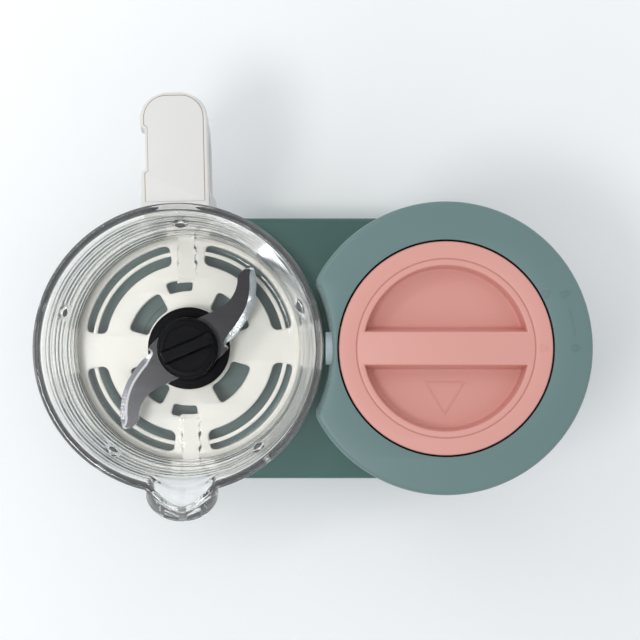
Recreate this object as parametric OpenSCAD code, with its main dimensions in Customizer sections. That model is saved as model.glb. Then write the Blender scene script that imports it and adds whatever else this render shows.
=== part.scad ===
// Baby food maker: glass blending bowl on a drive base beside a steam tower with a twist-off water cap.
// Millimetres, +Z up, origin on the table at the middle of the base.
// Bowl towards +X, steam tower towards -X, bowl handle and control knob towards -Y, spout towards +Y.

/* [Overall] */
// distance between the bowl axis and the tower axis
axis_gap = 160; // [150:1:195]
// outer radius of the steam tower
tower_r = 87; // [78:0.5:105]
// height of the tower's top face
tower_z = 232; // [215:1:280]
// outer radius of the glass bowl's rim
rim_r = 88; // [73:0.5:92]
// height of the glass bowl's rim
rim_z = 205; // [180:1:215]
// half width of the drive base
base_r = 87.5; // [80:0.5:105]
// height of the drive base's deck
deck_z = 55; // [52:0.5:66]

/* [Shells] */
// wall thickness of the moulded housings
shell_t = 3; // [2.4:0.1:3.6]
// height of the rubber feet
foot_h = 4; // [3:0.1:6]
// thickness of the bottom cover
cover_t = 3; // [2.4:0.1:4]
// height of the separate ring on top of the tower
ring_h = 10; // [8:0.5:12]
// rounding of the tower's top edge
ring_edge = 3; // [1:0.5:4]
// rounding of the base's top edge
base_edge = 2.5; // [1.5:0.5:4]
// open space between the bowl rim and the tower's hollow
scoop_gap = 5; // [3:0.5:8]

/* [Glass bowl] */
// height of the underside of the glass floor
glass_z = 80; // [79:0.5:90]
// wall thickness of the glass
glass_t = 4; // [3:0.1:5]
// how far the glass wall leans in from rim to floor
glass_taper = 10; // [6:0.5:14]
// reach of the pouring spout beyond the rim
spout_out = 17; // [10:0.5:22]
// width of the pouring spout where it leaves the rim
spout_w = 40; // [30:1:46]
// radius of the hole in the glass floor
floor_hole_r = 20.2; // [18:0.1:22]

/* [Handle] */
// small turn of the standing bowl about its own axis
bowl_turn = 1.3; // [-3:0.1:3]
// width of the bowl handle
handle_w = 41; // [34:0.5:50]
// reach of the handle beyond the rim
handle_out = 68; // [56:1:80]
// thickness of the handle's grip
grip_t = 17; // [13:0.5:20]

/* [Blade] */
// radius swept by the blade tips
blade_r = 67; // [55:0.5:70]
// thickness of the blade steel
blade_t = 1.8; // [1.2:0.1:2.4]
// radius of the blade's steel shaft
shaft_r = 4; // [3:0.1:5]
// radius of the black blade collar
collar_r = 27; // [24:0.5:30]
// radius of the blade hub cap
hub_r = 20; // [16:0.5:22]

/* [Drive] */
// radius of the large pulley under the bowl
driven_r = 30; // [26:0.5:36]
// radius of the small pulley on the motor
drive_r = 12; // [10:0.5:15]
// width of the flat belt
belt_w = 10; // [8:0.5:12]
// thickness of the belt
belt_t = 2; // [1.5:0.1:2.5]
// radius of the motor's stator
motor_r = 30; // [26:0.5:36]
// radius of the drive spindle
spindle_r = 5; // [4:0.1:6]

/* [Steam tower] */
// wall thickness of the water tank
tank_t = 3; // [2.4:0.1:4]
// height of the heating plate's underside
heater_z = 118; // [112:1:126]
// angle the water cap turns from locked to unlocked
cap_turn = 28.6; // [20:0.1:35]
// depth of the two finger recesses in the cap
recess_h = 16; // [12:0.5:20]
// width of the cap's grip bar
bar_w = 18.1; // [14:0.1:22]
// radius of the steam nozzle
nozzle_r = 9.75; // [8:0.25:11]
// radius of the steam bore
steam_r = 6; // [4.5:0.1:6.5]

/* [Knob] */
// radius of the control knob
knob_r = 18; // [14:0.5:22]
// height of the knob's axis
knob_z = 100; // [92:1:108]

/* [Hidden] */
$fn = 96;

// clearances: turning fit, seated fit in one body, and open gap between moving pieces
run_c = 0.05;
seat_c = 0.02;
open_c = 0.4;

bowl_x = axis_gap / 2;
tower_x = -axis_gap / 2;
cover_z = foot_h + cover_t;
deck_u = deck_z - shell_t;
scoop_r = rim_r + scoop_gap;
ring_z = tower_z - ring_h;

// tower stack, measured outwards from the tower axis
port_face_r = max(scoop_r, axis_gap - tower_r);
wall_in = axis_gap - port_face_r - shell_t;
seal_w = 1;
tank_r = min(wall_in - 5.5, tower_r - 24);
tank_in = tank_r - tank_t;
hole_r = min(tank_r + 5.8, wall_in + shell_t - 2.6);
cap_r = hole_r - 1;
recess_r = cap_r - 13.4;
heater_t = 6;
gasket_t = 2;
tank_z = heater_z + heater_t + gasket_t;
neck_z = tower_z - 5.5;
ear_at = tank_r + 3.5;
nozzle_z = ring_z - nozzle_r - 0.25;
duct_half = 13;
duct_lo = nozzle_z - 34;
duct_hi = ring_z - 3.1;
port_z = duct_lo + 10;
duct_x = tower_x + wall_in - seal_w;
duct_back = duct_x - tower_x - tank_r + 7.5;

// cap stack
flange_t = 5;
floor_t = 2.5;
cap_floor = tower_z - recess_h;
cap_under = cap_floor - floor_t;
skirt_in = tank_r + 0.7;
skirt_out = cap_r - 0.8;
lug_half = 4;
lug_gap = 0.6;
skirt_lo = duct_hi + 0.7;
lug_z = skirt_lo + 0.4;
lug_h = 5.2;
plug_r = tank_in - 2.5;
plug_z = cap_under - open_c;
seal_z = plug_z - 10;
pin_r = 6;
valve_at = plug_r * 0.55;

// bowl stack
glass_floor = glass_z + 5;
wall_top_r = rim_r - 1.5;
wall_low_r = wall_top_r - glass_taper;
disc_z = glass_z - 10;
disc_t = 4;
base_out = rim_r - 5;
cup_in = wall_low_r + 1.4;
slot_out = wall_low_r - 4.5;
lug_lo = (glass_floor + rim_z) / 2 - 4;
lug_at = wall_low_r - glass_t + 2.5;
rib_w = 12.5;
rib_in = 45 * (wall_low_r / 76.5);
slot_in = slot_out - 16;
boss_r = floor_hole_r + 6.6;
nut_z = disc_z - 4.6;
flange_z = glass_floor + 1;
collar_z = flange_z + 5;
barrel_r = floor_hole_r - 0.2;
bush_r = shaft_r + 4;
blade_z = collar_z + 5;
arm_k = min(blade_r, wall_low_r - glass_t - 5) / 67.4;
dog_w = shaft_r * 2.2;
skirt_z = deck_z + open_c;

// drive stack
belt_z = cover_z + 8;
coupling_r = spindle_r + 6;
coupling_z = deck_z + 0.8;
dog_z = coupling_z + 2.4;
housing_r = spindle_r + 9;
bearing_r = spindle_r + 6;
bracket_z = belt_z + belt_w + 9;
bracket_t = 4;
motor_z = bracket_z + bracket_t;
motor_h = 40;
post_at = motor_r + 5;
mshaft_r = 4;
belt_s = (driven_r - drive_r) / axis_gap;

// handle stack, distances from the bowl axis
tip_p = rim_r + handle_out;
top_p = rim_z - 5;
root_p = rim_r + 10;
low_p = glass_z + 10;
corner_r = 17;
inlay_t = 2.5;

pillar_r = base_r - 13.5;
knob_y = -tower_r;

// solid ring between two radii and two heights
module tube(r_out, r_in, z_lo, z_hi) {
    difference() {
        translate([0, 0, z_lo]) cylinder(r = r_out, h = z_hi - z_lo);
        translate([0, 0, z_lo - 1]) cylinder(r = r_in, h = z_hi - z_lo + 2);
    }
}

// solid disc between two heights
module disc(r, z_lo, z_hi) {
    translate([0, 0, z_lo]) cylinder(r = r, h = z_hi - z_lo);
}

// part of a ring between two angles
module arc_ring(r_out, r_in, z_lo, z_hi, a_lo, a_hi) {
    rotate([0, 0, a_lo])
        rotate_extrude(angle = a_hi - a_lo)
            translate([r_in, z_lo]) square([r_out - r_in, z_hi - z_lo]);
}

// footprint with two round ends
module stadium(r) {
    translate([bowl_x, 0]) circle(r);
    translate([tower_x, 0]) circle(r);
    square([axis_gap, 2 * r], center = true);
}

// plan of the tower with the hollow that the bowl stands in
module tower_plan(inset) {
    difference() {
        translate([tower_x, 0]) circle(tower_r - inset);
        translate([bowl_x, 0]) circle(scoop_r + inset);
    }
}

// points of the fixing pillars in the base
module at_pillars() {
    for (s = [-1, 1]) {
        translate([0, s * pillar_r, 0]) children();
        translate([bowl_x + pillar_r * 0.62, s * pillar_r * 0.78, 0]) children();
        translate([tower_x - pillar_r * 0.62, s * pillar_r * 0.78, 0]) children();
    }
}

// points of the feet
module at_feet() {
    for (s = [-1, 1]) {
        translate([bowl_x + base_r * 0.62, s * base_r * 0.36, 0]) children();
        translate([tower_x - base_r * 0.62, s * base_r * 0.36, 0]) children();
    }
    children();
}

// points of the motor bracket's posts
module at_posts() {
    for (a = [60, 180, 300])
        translate([tower_x, 0, 0]) rotate([0, 0, a]) translate([post_at, 0, 0]) children();
}

// small countersunk screw pointing up
module screw(z_lo, z_hi, r) {
    disc(r * 2.1, z_lo, z_lo + 2);
    disc(r, z_lo + 2, z_hi);
}

// closed loop of the belt's plan round the two pulleys, drive_r and driven_r grown by one distance
belt_lean = asin(belt_s);
function belt_loop(grow) = concat(
    [for (i = [0:24]) let (a = 90 + belt_lean + i * (180 - 2 * belt_lean) / 24)
        [tower_x + (drive_r + grow) * cos(a), (drive_r + grow) * sin(a)]],
    [for (i = [0:36]) let (a = -90 - belt_lean + i * (180 + 2 * belt_lean) / 36)
        [bowl_x + (driven_r + grow) * cos(a), (driven_r + grow) * sin(a)]]);

// ---- drive base ----

// half section of the base's round end, with its rounded top edge
module base_section(r, h, e) {
    square([r - e, h]);
    square([r, h - e]);
    translate([r - e, h - e]) circle(e);
}

module base_block() {
    h = deck_z - foot_h;
    translate([bowl_x, 0, foot_h])
        rotate_extrude() intersection() {
            base_section(base_r, h, base_edge);
            square([base_r + 1, h + 1]);
        }
    translate([tower_x, 0, foot_h])
        rotate_extrude() intersection() {
            base_section(base_r, h, base_edge);
            square([base_r + 1, h + 1]);
        }
    translate([0, 0, foot_h])
        rotate([90, 0, 90])
            linear_extrude(axis_gap, center = true) {
                base_section(base_r, h, base_edge);
                mirror([1, 0]) base_section(base_r, h, base_edge);
            }
}

module base_shell() {
    color("#5c7a78") {
        difference() {
            base_block();
            translate([0, 0, foot_h - 1])
                linear_extrude(deck_u - foot_h + 1) stadium(base_r - shell_t);
            translate([tower_x, 0, deck_u - 1]) cylinder(r = ear_at - 6.5, h = shell_t + 2);
            translate([bowl_x, 0, deck_u - 1]) cylinder(r = housing_r + 0.1, h = shell_t + 2);
            translate([tower_x, base_r - shell_t - 6, 20]) rotate([-90, 0, 0]) cylinder(r = 7.1, h = 20);
        }
        translate([bowl_x, 0, 0]) {
            tube(slot_out - 5, slot_out - 7, deck_z, deck_z + 2);
            tube(slot_in + 2, slot_in, deck_z, deck_z + 2);
            tube(36, 34, deck_z, deck_z + 2);
        }
        at_ears() disc(4.5, deck_z - 1, heater_z);
        difference() {
            at_pillars() disc(5, cover_z, deck_u);
            at_pillars() disc(1.6, cover_z - 1, cover_z + 14);
        }
    }
}

module bottom_cover() {
    color("#33383a")
        difference() {
            translate([0, 0, foot_h]) linear_extrude(cover_t) stadium(base_r - shell_t - 0.3);
            at_pillars() disc(1.7, 0, cover_z + 1);
            at_pillars() disc(3.6, 0, foot_h + 2);
            at_posts() disc(1.7, 0, cover_z + 1);
            at_posts() disc(3.6, 0, foot_h + 2);
            at_feet() disc(4, 0, cover_z + 1);
            for (i = [-2 : 3])
                translate([tower_x + 14 * i - 2, -64, 0]) cube([4, 22, 20]);
        }
}

module feet() {
    color("#26282a")
        at_feet() {
            disc(9, 0, foot_h);
            disc(4 - seat_c, foot_h, cover_z);
        }
}

module cover_screws() {
    color("#b9bcbe") at_pillars() screw(foot_h, cover_z + 8, 1.5);
}

module cord_gland() {
    color("#33383a")
        translate([tower_x, base_r, 20]) rotate([-90, 0, 0])
            difference() {
                union() {
                    disc(7, -8, 1);
                    disc(9.5, 0.1, 3);
                    disc(6, 3, 10);
                }
                disc(3.2, -9, 11);
            }
}

// ---- steam tower housing ----

module tower_shell() {
    color("#708888")
        difference() {
            translate([0, 0, deck_z]) linear_extrude(ring_z - deck_z) tower_plan(0);
            translate([0, 0, deck_z - 1]) linear_extrude(ring_z - deck_z + 2) tower_plan(shell_t);
            translate([tower_x + 20, 0, nozzle_z]) rotate([0, 90, 0]) cylinder(r = nozzle_r - 1.8, h = axis_gap);
            translate([tower_x, 0, knob_z]) rotate([90, 0, 0]) cylinder(r = 3.6, h = tower_r + 10);
        }
}

// body of revolution that rounds the tower's hollow at the top
module scoop_tool() {
    translate([bowl_x, 0, ring_z - 1])
        rotate_extrude()
            difference() {
                square([scoop_r + 2, ring_h + 2]);
                translate([scoop_r, -1]) square([4, ring_h - 0.999]);
                translate([scoop_r + 2, ring_h - 1]) circle(2);
            }
}

// closed or open padlock sign cut into the ring
module lock_sign(open) {
    translate([-2.6, -3.4]) square([5.2, 4.2]);
    translate([open ? 1.2 : 0, 0.8])
        difference() {
            circle(2.1);
            circle(1.3);
            translate([-3, -4]) square([6, 4]);
        }
}

module top_ring() {
    color("#708888")
        difference() {
            union() {
                translate([tower_x, 0, ring_z])
                    rotate_extrude()
                        intersection() {
                            base_section(tower_r, ring_h, ring_edge);
                            square([tower_r + 1, ring_h + 1]);
                        }
            }
            scoop_tool();
            translate([tower_x, 0, ring_z - 1]) cylinder(r = hole_r, h = ring_h + 2);
            translate([tower_x, 0, tower_z - 0.5]) {
                rotate([0, 0, 180 + cap_turn])
                    linear_extrude(2)
                        polygon([[hole_r + 1.6, 0], [hole_r + 5.6, 2.4], [hole_r + 5.6, -2.4]]);
                rotate([0, 0, 180 + cap_turn * 0.85])
                    translate([hole_r + 12, 0]) rotate(90) linear_extrude(2) lock_sign(true);
                rotate([0, 0, 180])
                    translate([hole_r + 12, 0]) rotate(90) linear_extrude(2) lock_sign(false);
            }
            translate([tower_x, 0, 0])
                arc_ring(hole_r + 12.4, hole_r + 11.6, tower_z - 0.5, tower_z + 1, 185.5, 198);
        }
}

// ---- control knob ----

module knob_axis() {
    translate([tower_x, knob_y, knob_z]) rotate([90, 0, 0]) children();
}

module knob_bezel() {
    color("#c9cccb")
        difference() {
            knob_axis() disc(knob_r + 5, -8, 2.5);
            knob_axis() disc(knob_r + 0.6, 1.6, 4);
            knob_axis() disc(3.6, -9, 5);
            knob_axis() tube(knob_r + 3.2, knob_r + 2.6, 2.1, 4);
            translate([tower_x, 0, 0]) cylinder(r = tower_r + 0.05, h = tower_z);
        }
}

module control_knob() {
    color("#e4e4e0")
        knob_axis()
            difference() {
                union() {
                    disc(knob_r, 1.6 + open_c, 4.6);
                    translate([-2.4, -knob_r + 3, 4]) cube([4.8, 2 * knob_r - 6, 2]);
                }
                disc(3 + seat_c, 1, 3.4);
            }
}

module knob_shaft() {
    color("#9da0a2") knob_axis() disc(3, -16, 3.4);
}

module rotary_switch() {
    color("#2b2d30")
        difference() {
            knob_axis() translate([-14, -14, -22]) cube([28, 28, 17.4]);
            knob_axis() disc(3 + run_c, -16 - open_c, 0);
        }
}

module board_place() {
    translate([tower_x - tower_r * 0.8, -25, deck_z]) children();
}

module control_board() {
    color("#2f6b46")
        board_place() {
            cube([1.6, 50, 70]);
            translate([1.6, 8, 10]) cube([12, 16, 18]);
            translate([1.6, 30, 36]) cube([9, 12, 12]);
        }
}

module interlock_switch() {
    color("#2b2d30")
        translate([bowl_x - 5, base_r * 0.62, deck_u - 14]) {
            cube([10, 18, 14]);
            translate([-2, 4, 2]) cube([2, 10, 6]);
        }
}

// ---- motor and belt drive ----

module motor_bracket() {
    color("#a9adaf")
        difference() {
            union() {
                translate([tower_x, 0, 0]) disc(post_at + 6, bracket_z, motor_z);
                at_posts() disc(5, cover_z, bracket_z + 1);
            }
            translate([tower_x, 0, 0]) disc(8 + seat_c, bracket_z - 1, motor_z + 1);
            at_posts() disc(1.6, cover_z - 1, cover_z + 12);
        }
}

module motor_stator() {
    color("#8c8f92")
        translate([tower_x, 0, 0])
            difference() {
                disc(motor_r, motor_z, motor_z + motor_h);
                disc(motor_r - 9.2, motor_z - 1, motor_z + motor_h + 1);
                for (a = [0, 90, 180, 270])
                    rotate([0, 0, a + 45])
                        translate([motor_r + 1, 0, motor_z - 1]) cylinder(r = 3, h = motor_h + 2);
            }
}

module motor_end_cap() {
    color("#b3b7b9")
        translate([tower_x, 0, 0]) tube(motor_r - 1, 8 + seat_c, motor_z + motor_h, motor_z + motor_h + 4);
}

module motor_bearings() {
    color("#c7cacc")
        translate([tower_x, 0, 0]) {
            tube(8, mshaft_r + run_c, bracket_z, motor_z);
            tube(8, mshaft_r + run_c, motor_z + motor_h, motor_z + motor_h + 4);
        }
}

module motor_screws() {
    color("#b9bcbe") at_posts() screw(foot_h, cover_z + 8, 1.5);
}

module motor_shaft() {
    color("#c7cacc") translate([tower_x, 0, 0]) disc(mshaft_r, belt_z - 2, motor_z + motor_h + 13);
}

module motor_rotor() {
    color("#b06a3a")
        translate([tower_x, 0, 0])
            tube(motor_r - 9.7, mshaft_r + seat_c, motor_z + 4, motor_z + motor_h - 4);
}

module drive_pulley() {
    color("#3c3f42")
        translate([tower_x, 0, 0])
            difference() {
                union() {
                    disc(drive_r, belt_z - 2, belt_z + belt_w + 2);
                    disc(drive_r + 3, belt_z - 2, belt_z - open_c);
                    disc(drive_r + 3, belt_z + belt_w + open_c, belt_z + belt_w + 2);
                }
                disc(mshaft_r + seat_c, belt_z - 3, belt_z + belt_w + 3);
            }
}

module cooling_fan() {
    color("#3c3f42")
        translate([tower_x, 0, 0])
            difference() {
                union() {
                    disc(9, motor_z + motor_h + 5, motor_z + motor_h + 12);
                    for (a = [0 : 45 : 315])
                        rotate([0, 0, a])
                            translate([7, -1, motor_z + motor_h + 6]) cube([motor_r - 9, 2, 6]);
                }
                disc(mshaft_r + seat_c, motor_z + motor_h, motor_z + motor_h + 14);
            }
}

module drive_belt() {
    color("#232527")
        translate([0, 0, belt_z])
            linear_extrude(belt_w)
                difference() {
                    polygon(belt_loop(0.35 + belt_t));
                    polygon(belt_loop(0.35));
                }
}

module driven_pulley() {
    color("#3c3f42")
        translate([bowl_x, 0, 0])
            difference() {
                disc(driven_r, belt_z - 1, belt_z + belt_w + 1);
                disc(spindle_r + seat_c, belt_z - 2, belt_z + belt_w + 2);
                for (a = [0 : 60 : 300])
                    rotate([0, 0, a])
                        translate([driven_r * 0.62, 0, belt_z - 2]) cylinder(r = driven_r * 0.17, h = belt_w + 4);
            }
}

module drive_spindle() {
    color("#c7cacc") translate([bowl_x, 0, 0]) disc(spindle_r, belt_z - 3, coupling_z + 1.6);
}

module drive_coupling() {
    color("#2b2d30")
        translate([bowl_x, 0, 0])
            difference() {
                disc(coupling_r, coupling_z, dog_z + 6.4);
                disc(spindle_r + seat_c, coupling_z - 1, coupling_z + 1.6);
                translate([-dog_w / 2 - 0.5, -dog_w / 2 - 0.5, coupling_z + 1.6]) cube([dog_w + 1, dog_w + 1, 20]);
            }
}

module bearing_housing() {
    color("#a9adaf")
        translate([bowl_x, 0, 0])
            difference() {
                union() {
                    disc(housing_r, belt_z + belt_w + 4, deck_z);
                    disc(housing_r + 12, deck_u - 4, deck_u);
                }
                disc(bearing_r + seat_c, belt_z + belt_w + 5, deck_z + 1);
                disc(spindle_r + 2, belt_z + belt_w + 3, deck_z);
                for (a = [45 : 90 : 315])
                    rotate([0, 0, a]) translate([housing_r + 6, 0, 0]) disc(1.7, deck_u - 5, deck_u + 1);
            }
}

module housing_screws() {
    color("#b9bcbe")
        translate([bowl_x, 0, 0])
            for (a = [45 : 90 : 315])
                rotate([0, 0, a]) translate([housing_r + 6, 0, 0]) {
                    disc(3.2, deck_u - 6, deck_u - 4);
                    disc(1.5, deck_u - 4, deck_u);
                }
}

module spindle_bearings() {
    color("#c7cacc")
        translate([bowl_x, 0, 0]) {
            tube(bearing_r, spindle_r + run_c, belt_z + belt_w + 5, belt_z + belt_w + 12);
            tube(bearing_r, spindle_r + run_c, deck_z - 11, deck_z - 4);
        }
}

module spindle_seal() {
    color("#8a2f2a") translate([bowl_x, 0, 0]) tube(bearing_r, spindle_r + run_c, deck_z - 4, deck_z - 0.5);
}

// ---- water tank and heater ----

module at_ears() {
    for (a = [45 : 90 : 315])
        translate([tower_x, 0, 0]) rotate([0, 0, a]) translate([ear_at, 0, 0]) children();
}

module water_tank() {
    color("#d9dde0")
        difference() {
            union() {
                translate([tower_x, 0, 0]) disc(tank_r, tank_z, neck_z);
                at_ears() disc(6, tank_z, tank_z + 4);
                for (a = [60, 180, 300])
                    translate([tower_x, 0, 0])
                        arc_ring(skirt_out - 0.6, tank_r - 1, lug_z, lug_z + lug_h, a - lug_half, a + lug_half);
            }
            translate([tower_x, 0, 0]) disc(tank_in, tank_z - 1, neck_z + 1);
            at_ears() disc(1.7, tank_z - 1, tank_z + 5);
            translate([tower_x + tank_in - 8, 0, port_z]) rotate([0, 90, 0]) cylinder(r = steam_r, h = 20);
        }
}

module boiler_gasket() {
    color("#b5482f") translate([tower_x, 0, 0]) tube(tank_r, tank_in, tank_z - gasket_t, tank_z);
}

module heating_plate() {
    color("#b3b7b9")
        difference() {
            union() {
                translate([tower_x, 0, 0]) disc(tank_r, heater_z, heater_z + heater_t);
                at_ears() disc(6, heater_z, heater_z + heater_t);
            }
            at_ears() disc(1.6, heater_z - 1, heater_z + heater_t + 1);
        }
}

module heating_element() {
    color("#6d6f70")
        translate([tower_x, 0, heater_z - 3.5])
            rotate_extrude() translate([tank_r * 0.62, 0]) circle(3.5);
}

module thermostat() {
    color("#e0ddd2") translate([tower_x, 0, 0]) disc(9, heater_z - 7, heater_z);
}

module thermal_fuse() {
    color("#e7e1cf")
        translate([tower_x, 16, heater_z - 3]) rotate([0, 90, 0]) cylinder(r = 3, h = 16, center = true);
}

module boiler_screws() {
    color("#b9bcbe")
        at_ears() {
            disc(1.5, heater_z, tank_z + 4);
            disc(3.4, tank_z + 4, tank_z + 6.4);
        }
}

module steam_duct() {
    color("#cfd3d4")
        difference() {
            translate([duct_x - duct_back, -duct_half, duct_lo])
                cube([duct_back, 2 * duct_half, duct_hi - duct_lo]);
            translate([tower_x, 0, duct_lo - 1]) cylinder(r = tank_r + 0.05, h = 60);
            difference() {
                translate([duct_x - duct_back - 8, 1.2 - duct_half, duct_lo + 1.2])
                    cube([duct_back + 7, 2 * duct_half - 2.4, duct_hi - duct_lo - 2.4]);
                translate([tower_x, 0, duct_lo - 1]) cylinder(r = tank_r + 1.1, h = 60);
            }
            translate([duct_x - duct_back - 2, 0, port_z]) rotate([0, 90, 0]) cylinder(r = steam_r, h = duct_back - 1);
            translate([duct_x - 3, 0, nozzle_z]) rotate([0, 90, 0]) cylinder(r = steam_r - 0.3, h = 11);
        }
}

module nozzle_seal() {
    color("#b5482f")
        translate([duct_x, 0, nozzle_z]) rotate([0, 90, 0])
            difference() {
                disc(nozzle_r - 0.4, 0, seal_w);
                disc(steam_r + 0.6, -1, seal_w + 1);
            }
}

module steam_nozzle() {
    color("#a1aeb3", 0.8)
        difference() {
            union() {
                translate([duct_x + seal_w, 0, nozzle_z]) rotate([0, 90, 0]) cylinder(r = nozzle_r - 1.9, h = 4);
                intersection() {
                    translate([duct_x + seal_w, 0, nozzle_z]) rotate([0, 90, 0]) cylinder(r = nozzle_r, h = shell_t + 4);
                    translate([bowl_x, 0, 0]) cylinder(r = port_face_r - 0.05, h = tower_z);
                }
            }
            translate([duct_x - 2, 0, nozzle_z]) rotate([0, 90, 0]) cylinder(r = steam_r, h = 14);
        }
}

// ---- water cap ----

module cap_plug() {
    color("#d9a59a")
        translate([tower_x, 0, 0])
            difference() {
                union() {
                    disc(plug_r, plug_z - 4, plug_z);
                    tube(plug_r, plug_r - 4, plug_z - 14, plug_z - 3);
                    disc(pin_r + 4, plug_z - 10, plug_z - 3);
                }
                tube(plug_r + 2, plug_r - 2, seal_z - 0.1, seal_z + 3.3);
                disc(pin_r + run_c, plug_z - 20, plug_z + 1);
            }
}

module cap_seal() {
    color("#8a2f2a") translate([tower_x, 0, 0]) tube(tank_in - open_c, plug_r - 2 + seat_c, seal_z, seal_z + 3.2);
}

module valve_body() {
    color("#4a4d50")
        translate([tower_x - valve_at, 0, 0])
            difference() {
                disc(8, plug_z - 17, plug_z - 4);
                disc(6.2, plug_z - 14, plug_z - 3);
                disc(3, plug_z - 18, plug_z - 13);
            }
}

module valve_weight() {
    color("#b9bcbe")
        translate([tower_x - valve_at, 0, 0]) {
            disc(5.6, plug_z - 14 + open_c, plug_z - 9);
            disc(2.4, plug_z - 17, plug_z - 13);
        }
}

module water_cap() {
    color("#daa59a") {
        translate([tower_x, 0, 0])
            difference() {
                union() {
                    tube(cap_r, recess_r, tower_z - flange_t, tower_z);
                    tube(recess_r + 2.5, recess_r, cap_under, tower_z - 1);
                    disc(recess_r + 1, cap_under, cap_floor);
                    tube(skirt_out, skirt_in, skirt_lo, tower_z - flange_t + 0.5);
                    intersection() {
                        translate([-recess_r - 1, -bar_w / 2, cap_floor - 0.5]) cube([2 * recess_r + 2, bar_w, recess_h + 0.5]);
                        disc(recess_r + 1, cap_under, tower_z);
                    }
                    disc(pin_r, plug_z - 10 - open_c, cap_under + 0.5);
                }
                tube(recess_r + 3.4, recess_r + 2.7, tower_z - 0.5, tower_z + 1);
                for (a = [60, 180, 300])
                    arc_ring(skirt_out + 2, skirt_in - 0.2, ring_z - 20, tower_z - flange_t,
                        a - lug_half - lug_gap - cap_turn, a + lug_half + lug_gap);
                translate([-recess_r + 6, 3 - bar_w / 2, cap_under - 1])
                    cube([recess_r - pin_r - 9, bar_w - 6, recess_h + floor_t - 1.4]);
                translate([pin_r + 3, 3 - bar_w / 2, cap_under - 1])
                    cube([recess_r - pin_r - 9, bar_w - 6, recess_h + floor_t - 1.4]);
                translate([0, 0, tower_z - 0.5])
                    linear_extrude(2)
                        difference() {
                            polygon([[-cap_r + 1.6, 0], [-cap_r + 8, 3.2], [-cap_r + 8, -3.2]]);
                            polygon([[-cap_r + 3.4, 0], [-cap_r + 7.2, 1.8], [-cap_r + 7.2, -1.8]]);
                        }
            }
        translate([tower_x, recess_r * 0.6, cap_floor - 0.2])
            linear_extrude(0.8) {
                difference() {
                    polygon([[0, 9.8], [12, -9.8], [-12, -9.8]]);
                    polygon([[0, 7.4], [9.8, -8.6], [-9.8, -8.6]]);
                }
                for (i = [-1 : 1])
                    translate([i * 3.4 - 0.6, -6.4]) square([1.2, 7 - 3 * abs(i)]);
            }
    }
}

module cap_clip() {
    color("#b9bcbe") translate([tower_x, 0, 0]) disc(pin_r + 3, plug_z - 12 - open_c, plug_z - 10 - open_c);
}

// ---- glass bowl ----

module glass_section_out() {
    polygon([
        [0, glass_z], [wall_low_r - 5, glass_z], [wall_low_r - 1, glass_z + 2], [wall_low_r, glass_z + 6],
        [wall_top_r, rim_z - 9], [rim_r, rim_z - 7], [rim_r, rim_z - 1], [rim_r - 1, rim_z], [0, rim_z]
    ]);
}

module glass_section_in() {
    polygon([
        [0, glass_floor], [wall_low_r - glass_t - 6, glass_floor], [wall_low_r - glass_t - 1, glass_floor + 2],
        [wall_low_r - glass_t + 0.4, glass_floor + 7], [wall_top_r - glass_t, rim_z - 9],
        [wall_top_r - glass_t, rim_z - 1], [wall_top_r - glass_t + 1, rim_z + 1], [0, rim_z + 1]
    ]);
}

// plan of the pouring spout, grown or shrunk by an offset
module spout_plan(d) {
    y0 = rim_r - 14;
    tip = rim_r + spout_out + d;
    w = spout_w / 2 + d;
    polygon([
        [-w, y0], [-w + 1, rim_r - 4], [-w * 0.62, tip - 5], [-w * 0.28, tip - 0.8], [0, tip],
        [w * 0.28, tip - 0.8], [w * 0.62, tip - 5], [w - 1, rim_r - 4], [w, y0]
    ]);
}

// half space under the spout's sloping throat
module spout_slope(drop) {
    translate([0, rim_r - 8, rim_z - 27 - drop])
        rotate([40, 0, 0]) translate([-50, -60, -60]) cube([100, 160, 60]);
}

module glass_bowl() {
    color("#cfe0e0", 0.35)
        translate([bowl_x, 0, 0]) rotate([0, 0, bowl_turn]) {
            difference() {
                union() {
                    rotate_extrude() glass_section_out();
                    difference() {
                        translate([0, 0, rim_z - 30]) linear_extrude(30) spout_plan(0);
                        spout_slope(0);
                    }
                }
                rotate_extrude() glass_section_in();
                difference() {
                    translate([0, 0, rim_z - 32]) linear_extrude(40) spout_plan(-3.2);
                    spout_slope(-5);
                }
                disc(floor_hole_r, glass_z - 1, glass_floor + 1);
            }
            for (s = [90, 270])
                rotate([0, 0, s])
                    intersection() {
                        translate([0, 0, glass_floor]) cylinder(r = wall_low_r - glass_t, h = 8);
                        union() {
                            translate([rib_in + 4, -rib_w / 2, glass_floor - 1]) cube([40, rib_w, 9]);
                            translate([rib_in, 4 - rib_w / 2, glass_floor - 1]) cube([40, rib_w - 8, 9]);
                            for (y = [4 - rib_w / 2, rib_w / 2 - 4])
                                translate([rib_in + 4, y, glass_floor - 1]) cylinder(r = 4, h = 9);
                        }
                    }
            intersection() {
                rotate_extrude() glass_section_out();
                for (a = [-18 : 72 : 270])
                    rotate([0, 0, a])
                        translate([lug_at, -4, lug_lo]) cube([wall_top_r - lug_at, 8, 18]);
            }
        }
}

// radial slot with square ends in the bowl base disc
module slot(r_lo, r_hi, a_lo, a_hi) {
    arc_ring(r_hi, r_lo, disc_z - 1, disc_z + disc_t + 1, a_lo, a_hi);
}

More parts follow.
